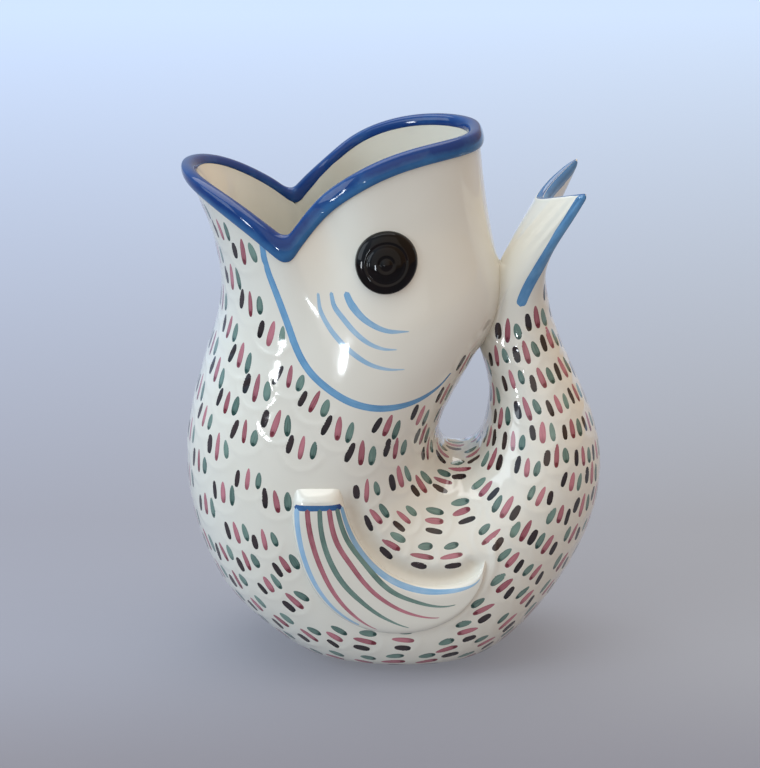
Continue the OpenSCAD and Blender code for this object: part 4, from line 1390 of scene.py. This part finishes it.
class JUG_OT_dabs(bpy.types.Operator):
    """Paint the groups of black, red and green brush dabs over the scales"""

    bl_idname = "jug.paint_dabs"
    bl_label = "Brush dabs"

    def spots(self, b, offset, up):
        """Points with their directions, for the dabs at one place in every group."""
        plan = b.plan
        keep = np.abs(plan.centre[:, 1]) > MM
        rng = np.random.default_rng(DAB_SEED + offset)
        size = mix(1.0, TAIL_DAB_SHARE, plan.dense)[:, None]
        down = plan.along * np.where(plan.along[:, 2:] > UPWARD, -1, 1)
        side = offset * np.where(plan.station > TURNED_STATION, -1, 1)[:, None]
        gap = mix(b.paint.dab_gap, b.paint.tail_dab_gap, plan.dense)[:, None]
        slide = rng.normal(0, DAB_SLIDE, (len(down), 1)) - up * b.paint.dab_length
        centre = plan.centre + plan.across * side * gap + down * slide
        along = down + plan.across * side * DAB_SLANT
        spots = [np.hstack([centre, along, plan.facing, size])]
        flip = np.array([1, -1, 1] * 3 + [1])
        spots.append(spots[0][keep] * flip)
        return np.vstack(spots)

    def execute(self, context):
        b = bench(context)
        tree = DabTree()
        for name, offset, length_share, width_share, up, *bends in DABS:
            shape = placed("dab_shape", dab_shape(*bends))
            spots = self.spots(b, offset, up)
            mesh = bpy.data.meshes.new("spots_" + name)
            mesh.from_pydata(spots[:, :3].tolist(), [], [])
            for key, columns in (("along", spots[:, 3:6]), ("facing", spots[:, 6:9])):
                mesh.attributes.new(key, "FLOAT_VECTOR", "POINT").data.foreach_set(
                    "vector", columns.astype(np.float32).ravel())
            mesh.attributes.new("size", "FLOAT", "POINT").data.foreach_set(
                "value", spots[:, 9].astype(np.float32))
            carrier = placed("spots_" + name, mesh)
            modifier = carrier.modifiers.new("dabs", "NODES")
            modifier.node_group = tree.tree
            paint = finish_of(context, name + "_paint",
                              lambda c: paint_finish(name + "_paint", getattr(c, name),
                                                     getattr(c, name + "_pooled"),
                                                     c.glaze_roughness))
            given = {"Dab": shape, "Body": bpy.data.objects["jug_body"],
                     "Tail": bpy.data.objects["jug_tail"],
                     "Length": b.paint.dab_length * length_share,
                     "Width": b.paint.dab_width * width_share,
                     "Height": b.paint.paint_height, "Turn": DAB_TURN,
                     "Seed": DAB_SEED + offset, "Paint": paint}
            for key, value in given.items():
                modifier[tree.names[key]] = value
            carrier.update_tag()
            graph = context.evaluated_depsgraph_get()
            dabs = bpy.data.meshes.new_from_object(carrier.evaluated_get(graph))
            carrier.modifiers.remove(modifier)
            bpy.data.objects.remove(carrier)
            if not dabs.polygons:
                raise RuntimeError("no dabs were laid for " + name)
            dabs.shade_smooth()
            normals = np.empty(len(dabs.vertices) * 3, dtype=np.float32)
            dabs.attributes["skin_normal"].data.foreach_get("vector", normals)
            dabs.normals_split_custom_set_from_vertices(normals.reshape(-1, 3).tolist())
            dabs.name = "dabs_" + name
            settle(placed("dabs_" + name, dabs))
            bpy.data.objects.remove(shape)
        return {"FINISHED"}


# Painted lines

LINE_STEP = 0.8 * MM
LINE_SAMPLES, LINE_SIDE_STEPS, LINE_LEAST_STEPS = 200, 8, 8
LINE_LEAST_HALF, LINE_EDGE_SINK = 0.02 * MM, 0.03 * MM
LINE_PROBE = 1e-3
# Cheek strokes, by station and loop place, from the eye outward
CHEEK_PATHS = (
    ((4.31, 0.475), (4.70, 0.487), (5.12, 0.511), (5.46, 0.542), (5.70, 0.576), (5.84, 0.622)),
    ((4.25, 0.442), (4.68, 0.449), (5.11, 0.472), (5.54, 0.500), (5.92, 0.533), (6.18, 0.568),
     (6.31, 0.602)),
    ((4.21, 0.412), (4.72, 0.417), (5.22, 0.438), (5.72, 0.470), (6.18, 0.508), (6.56, 0.548),
     (6.84, 0.592), (7.00, 0.635)))
# Stripes of a side fin, by its two shares. The first share of the printed rows was worked
# out again when the fin's shoulder was added
FIN_PALE_PATH = ((0.100, 0.085), (0.222, 0.085), (0.345, 0.080), (0.440, 0.072), (0.530, 0.056))
FIN_RED_PATHS = (
    ((0.102, 0.292), (0.278, 0.284), (0.378, 0.252), (0.478, 0.184), (0.570, 0.080)),
    ((0.102, 0.710), (0.236, 0.676), (0.349, 0.696), (0.489, 0.608), (0.602, 0.476),
     (0.705, 0.300)))
FIN_GREEN_PATHS = (
    ((0.102, 0.530), (0.231, 0.472), (0.351, 0.440), (0.462, 0.416), (0.558, 0.316),
     (0.635, 0.180)),
    ((0.102, 0.860), (0.231, 0.852), (0.347, 0.880), (0.486, 0.784), (0.593, 0.704),
     (0.745, 0.490)))
FIN_BLUE_PATH = ((0.100, 0.950), (0.213, 0.945), (0.326, 0.945), (0.440, 0.940), (0.560, 0.930),
                 (0.671, 0.905), (0.780, 0.820), (0.892, 0.640))
FIN_BAND_PATH = ((0.100, 0.035), (0.100, 0.30), (0.100, 0.65), (0.100, 0.955))
FLUKE_LINE_PATH = ((31.80, 0.53), (31.78, 0.65), (31.74, 0.80), (31.70, 0.99999))
FLUKE_BACK_PATH = ((31.62, 0.00001), (31.56, 0.12), (31.50, 0.26), (31.45, 0.43))
LAST_STATION = 31.98


class Line:
    """A brush line on a surface given by two values, laid on both sides of the fish."""

    def __init__(self, surface, path, widths, load=(0.0, 0.0), reach=1.0, open_start=False):
        self.surface, self.reach, self.load = surface, reach, load
        self.path = curve_through(path, LINE_SAMPLES)
        spots = surface(*self.path.T)
        length = np.concatenate([[0], np.cumsum(np.linalg.norm(np.diff(spots, axis=0), axis=1))])
        count = max(LINE_LEAST_STEPS, int(length[-1] / LINE_STEP))
        self.length = np.linspace(0, length[-1], count)
        self.path = np.stack([np.interp(self.length, length, self.path[:, k])
                              for k in range(2)], -1)
        half = np.interp(self.length / length[-1], np.linspace(0, 1, len(widths)),
                         np.array(widths)) * MM / 2
        gap = length[-1] - self.length
        gap = gap if open_start else np.minimum(self.length, gap)
        blunt = np.clip(gap / np.maximum(half, 1e-5), 0, 1)
        self.half = np.maximum(half * np.sqrt(np.maximum(1 - (1 - blunt) ** 2, 0)),
                               LINE_LEAST_HALF)

    def slopes(self, a, b):
        """How the surface moves with each of its two values."""
        h = LINE_PROBE
        first = (self.surface(a + h, b) - self.surface(a - h, b)) / (2 * h)
        h = LINE_PROBE * self.reach
        return first, (self.surface(a, b + h) - self.surface(a, b - h)) / (2 * h)

    def rows(self, height):
        """Points, directions and painted places of the line's rows across its path."""
        course = np.gradient(self.surface(*self.path.T), axis=0)
        tables = {0: self.path.copy()}
        for side in (-1, 1):
            spot = self.path.copy()
            for k in range(1, LINE_SIDE_STEPS + 1):
                first, second = self.slopes(*spot.T)
                across = unit(np.cross(unit(np.cross(first, second)), course))
                step = across * (side * self.half / LINE_SIDE_STEPS)[:, None]
                aa, ab, bb = (first * first).sum(1), (first * second).sum(1), \
                    (second * second).sum(1)
                ra, rb = (first * step).sum(1), (second * step).sum(1)
                det = np.maximum(aa * bb - ab * ab, 1e-18)
                spot = spot + np.stack([(ra * bb - rb * ab) / det, (rb * aa - ra * ab) / det], -1)
                spot[:, 0] = np.minimum(spot[:, 0], LAST_STATION)
                tables[side * k] = spot.copy()
        sides = sorted(tables)
        points, normals = [], []
        for k in sides:
            first, second = self.slopes(*tables[k].T)
            facing = unit(np.cross(first, second))
            rise = mix(-LINE_EDGE_SINK, height / self.reach**0.4,
                       1 - (abs(k) / LINE_SIDE_STEPS) ** 4)
            points.append(self.surface(*tables[k].T) + facing * rise)
            normals.append(facing)
        s = self.length / self.length[-1]
        v = (np.array(sides) / LINE_SIDE_STEPS + 1) / 2
        uv = np.stack(np.broadcast_arrays(s[:, None], v[None]), -1)
        load = np.interp(s, np.linspace(0, 1, len(self.load)), self.load)[:, None] + 0 * v
        return np.stack(points, 1), np.stack(normals, 1), uv, load


class JUG_OT_lines(bpy.types.Operator):
    """Paint the gill lines, the cheek strokes and the stripes of the fins and the flukes"""

    bl_idname = "jug.paint_lines"
    bl_label = "Painted lines"

    def lay(self, context, name, paint, lines):
        """Makes one piece of several lines and of their likenesses on the other side."""
        piece = Piece(name)
        height = context.scene.jug_paint.paint_height
        for line in lines:
            points, normals, uv, load = line.rows(height)
            piece.sheet(points, normals, uv, load=load, tone=0.5)
            piece.sheet(mirrored(points), mirrored(normals), uv, turned=True, load=load,
                        tone=0.5)
        colours = {"pale": ("pale_blue", "line_blue"), "blue": ("line_blue", "cobalt_thin"),
                   "cobalt": ("cobalt_thin", "cobalt"), "red": ("red", "red_pooled"),
                   "green": ("green", "green_pooled")}[paint]
        finish = finish_of(context, paint + "_line_paint",
                           lambda c: line_finish(paint + "_line_paint",
                                                 *(getattr(c, key) for key in colours),
                                                 c.glaze_roughness))
        piece.build(finish)

    def execute(self, context):
        b = bench(context)
        skin, fin, fan = b.skin.point, b.fin.point, b.form.fluted_point
        self.lay(context, "gill_lines", "blue", [
            Line(skin, GILL_PATH, (2.8, 3.3, 3.4, 3.4, 3.4, 3.4, 3.1, 2.2, 0.9),
                 (-0.1, -0.2, -0.15, -0.1, 0.5))])
        self.lay(context, "cheek_strokes", "pale", [
            Line(skin, CHEEK_PATHS[0], (2.8, 3.6, 3.0, 2.5, 1.9, 0.4), (0.6, 0.4, 0.3, -0.2)),
            Line(skin, CHEEK_PATHS[1], (1.6, 2.4, 2.5, 2.3, 1.7, 0.4), (0.4, 0.1, 0.0, -0.3)),
            Line(skin, CHEEK_PATHS[2], (1.2, 2.1, 2.4, 2.4, 1.7, 0.4), (0.2, 0.0, 0.0, -0.3))])
        self.lay(context, "fin_blue_stripes", "pale", [
            Line(fin, FIN_PALE_PATH, (3.0, 2.9, 2.6, 2.0, 1.2), (0.1, 0.0, -0.2)),
            Line(fin, FIN_BLUE_PATH, (2.4, 2.7, 3.0, 3.2, 3.3, 3.0, 2.0, 0.4),
                 (0.5, 0.3, 0.2, 0.4, -0.1))])
        self.lay(context, "fin_red_stripes", "red", [
            Line(fin, path, (2.4, 2.6, 2.4, 2.1, 1.6, 0.4), (0.15, 0.0, -0.1, -0.35))
            for path in FIN_RED_PATHS])
        self.lay(context, "fin_green_stripes", "green", [
            Line(fin, path, (2.2, 2.5, 2.7, 2.5, 1.7, 0.4), (0.1, -0.1, -0.1, -0.35))
            for path in FIN_GREEN_PATHS])
        self.lay(context, "fin_top_bands", "cobalt", [
            Line(fin, FIN_BAND_PATH, (2.9, 2.9, 2.7, 3.1), (0.2, -0.2, 0.0, 0.7))])
        self.lay(context, "fluke_bands", "blue", [
            Line(fan, FLUKE_BAND_PATH, (4.6, 5.6, 6.4, 6.4), (0.1, 0.2, 0.1, 0.4), 0.2),
            # The band on the back faces of the flukes takes a heavier load, so it is darker: painted
            # shade
            Line(fan, FLUKE_BACK_PATH, (7.4, 7.0, 6.8, 6.0), (0.6, 0.8), 0.2, True)])
        self.lay(context, "fluke_lines", "cobalt", [
            Line(fan, FLUKE_LINE_PATH[::-1], (3.2, 2.8, 2.2, 2.0), (0.0, 0.2), 0.2, True)])
        return {"FINISHED"}


# The studio

CAMERA_AZIMUTH, CAMERA_ELEVATION = math.radians(0.15), math.radians(18)
CAMERA_DISTANCE = 1.3
CAMERA_AIM = (-0.006, 0.0, 0.1185)
FOCAL_PIXELS = 3000
SENSOR_WIDTH = 36
FLOOR_REACH = 14
# Lamps: name, place, what it points at, width and height, power in watts, colour
LAMPS = (
    ("window_left", (-1.80, -0.90, 0.95), (0, 0, 0.12), (1.60, 1.20), 15.0, (0.84, 0.93, 1.0)),
    ("window_front", (-0.10, -2.35, 0.20), (0, 0, 0.12), (0.08, 0.13), 1.6, (0.85, 0.93, 1.0)),
    ("window_side", (-1.50, -1.72, 0.20), (0, 0, 0.12), (0.18, 0.26), 4.0, (0.92, 0.96, 1.0)),
    ("room_front", (0.50, -2.60, 1.20), (0, 0, 0.12), (3.0, 2.0), 7.5, (1.0, 0.96, 0.90)),
    ("ceiling", (-0.15, 0.40, 2.20), (0, 0, 0.1), (2.4, 2.4), 40.0, (1.0, 0.99, 0.97)),
)
WORLD_STRENGTH = 0.98
HORIZON_SHARE = 0.66
FLOOR_GLOW_SHARE = 0.45
SEEN_BY = ("Is Camera Ray", "Is Glossy Ray", "Is Transmission Ray")


class JUG_OT_studio(bpy.types.Operator):
    """Set up the floor, the soft lights, the room's light and the camera"""

    bl_idname = "jug.build_studio"
    bl_label = "Studio"

    def floor(self, context):
        """A pale grey floor with a faint shadow, darker in front of the jug as painted shade, lighter
        and bluer far behind the jug; near the jug a glow that the camera and reflections see pales the
        shadow, as painted light.
        """
        colours = context.scene.jug_colours
        finish = Finish("studio_floor", 0.9, specular=0.1)
        g = finish.graph
        across, depth, _up = g.split(g.place())
        side = across.step(-0.35, 0.35)
        tint = g.mix_colour(side, linear(colours.floor_left), linear(colours.floor_right))
        # In front of the jug the floor is mixed towards a darker colour: painted shade
        tint = g.mix_colour(depth.step(-0.19, 0.0), linear(colours.floor_near_shade), tint)
        rays = g.node("ShaderNodeLightPath").socket.node.outputs
        seen = sum(Value(g, rays[name]) for name in SEEN_BY).clamped()
        far = ((depth - 0.15) / 1.3).clamped()
        dark = linear((0, 0, 0))
        # Near the jug the camera and reflections see part of the floor as a glow instead of lit colour,
        # which pales the jug's shadow: painted light
        finish.set("Base Color", g.mix_colour(seen * (1 - far) * FLOOR_GLOW_SHARE, tint, dark))
        glow = g.mix_colour(far, g.mix_colour(FLOOR_GLOW_SHARE * 1.15, dark, tint),
                            linear(colours.floor_glow))
        finish.set("Emission Color", g.mix_colour(seen, dark, glow))
        finish.shader.inputs["Emission Strength"].default_value = 1.0
        mesh = bpy.data.meshes.new("floor")
        r = FLOOR_REACH
        mesh.from_pydata([(-r, -r, 0), (r, -r, 0), (r, r, 0), (-r, r, 0)], [], [(0, 1, 2, 3)])
        mesh.materials.append(finish.material)
        placed("floor", mesh)

    def room(self, context):
        """Soft light: cool from the left, warm and weaker from the right, dim at eye level."""
        colours = context.scene.jug_colours
        world = bpy.data.worlds.new("room")
        world.use_nodes = True
        context.scene.world = world
        g = Graph(world.node_tree)
        shade = next(n for n in world.node_tree.nodes if n.type == "BACKGROUND")
        way = g.node("ShaderNodeTexCoord", {}, {}, "Generated")
        across, _depth, up = g.split(way)
        tint = g.mix_colour(across.step(-0.7, 0.8), linear(colours.sky_left),
                            linear(colours.sky_right))
        level = up.step(0.0, 0.6) * (1 - HORIZON_SHARE) + HORIZON_SHARE
        g.tree.links.new(g.mix_colour(level, linear((0, 0, 0)), tint).socket,
                         shade.inputs["Color"])
        shade.inputs["Strength"].default_value = WORLD_STRENGTH

    def lamps(self, context):
        for name, place, aim, size, power, tint in LAMPS:
            light = bpy.data.lights.new(name, "AREA")
            light.shape = "RECTANGLE"
            light.size, light.size_y = size
            light.energy, light.color = power, tint
            lamp = placed(name, light)
            lamp.location = place
            lamp.rotation_euler = (Vector(aim) - Vector(place)).to_track_quat("-Z", "Y").to_euler()

    def camera(self, context):
        data = bpy.data.cameras.new("camera")
        data.sensor_width = SENSOR_WIDTH
        data.lens = FOCAL_PIXELS * SENSOR_WIDTH / max(IMAGE_WIDTH, IMAGE_HEIGHT)
        a, e = CAMERA_AZIMUTH, CAMERA_ELEVATION
        look = Vector((-math.sin(a) * math.cos(e), math.cos(a) * math.cos(e), -math.sin(e)))
        camera = placed("camera", data)
        camera.location = Vector(CAMERA_AIM) - look * CAMERA_DISTANCE
        camera.rotation_euler = look.to_track_quat("-Z", "Y").to_euler()
        context.scene.camera = camera

    def execute(self, context):
        self.floor(context)
        self.room(context)
        self.lamps(context)
        self.camera(context)
        context.scene.view_settings.view_transform = "Standard"
        return {"FINISHED"}


# The add-on

STEPS = (JUG_OT_body, JUG_OT_fan, JUG_OT_lip, JUG_OT_fins, JUG_OT_eyes, JUG_OT_foot,
         JUG_OT_dabs, JUG_OT_lines, JUG_OT_studio)


class JUG_PT_panel(bpy.types.Panel):
    """Sizes, colours and building steps of the jug"""

    bl_label = "Fish gurgle jug"
    bl_idname = "JUG_PT_panel"
    bl_space_type = "VIEW_3D"
    bl_region_type = "UI"
    bl_category = "Gurgle Jug"

    def draw(self, context):
        for group in (context.scene.jug_sizes, context.scene.jug_paint,
                      context.scene.jug_colours):
            box = self.layout.box()
            for name in type(group).__annotations__:
                box.prop(group, name)
        for step in STEPS:
            self.layout.operator(step.bl_idname)


CLASSES = (JugSizes, PaintSizes, GlazeColours, *STEPS, JUG_PT_panel)


def register():
    for cls in CLASSES:
        bpy.utils.register_class(cls)
    bpy.types.Scene.jug_sizes = bpy.props.PointerProperty(type=JugSizes)
    bpy.types.Scene.jug_paint = bpy.props.PointerProperty(type=PaintSizes)
    bpy.types.Scene.jug_colours = bpy.props.PointerProperty(type=GlazeColours)


def unregister():
    del bpy.types.Scene.jug_sizes, bpy.types.Scene.jug_paint, bpy.types.Scene.jug_colours
    for cls in reversed(CLASSES):
        bpy.utils.unregister_class(cls)


def main():
    register()
    for step in STEPS:
        family, name = step.bl_idname.split(".")
        getattr(getattr(bpy.ops, family), name)()


if __name__ == "__main__":
    main()
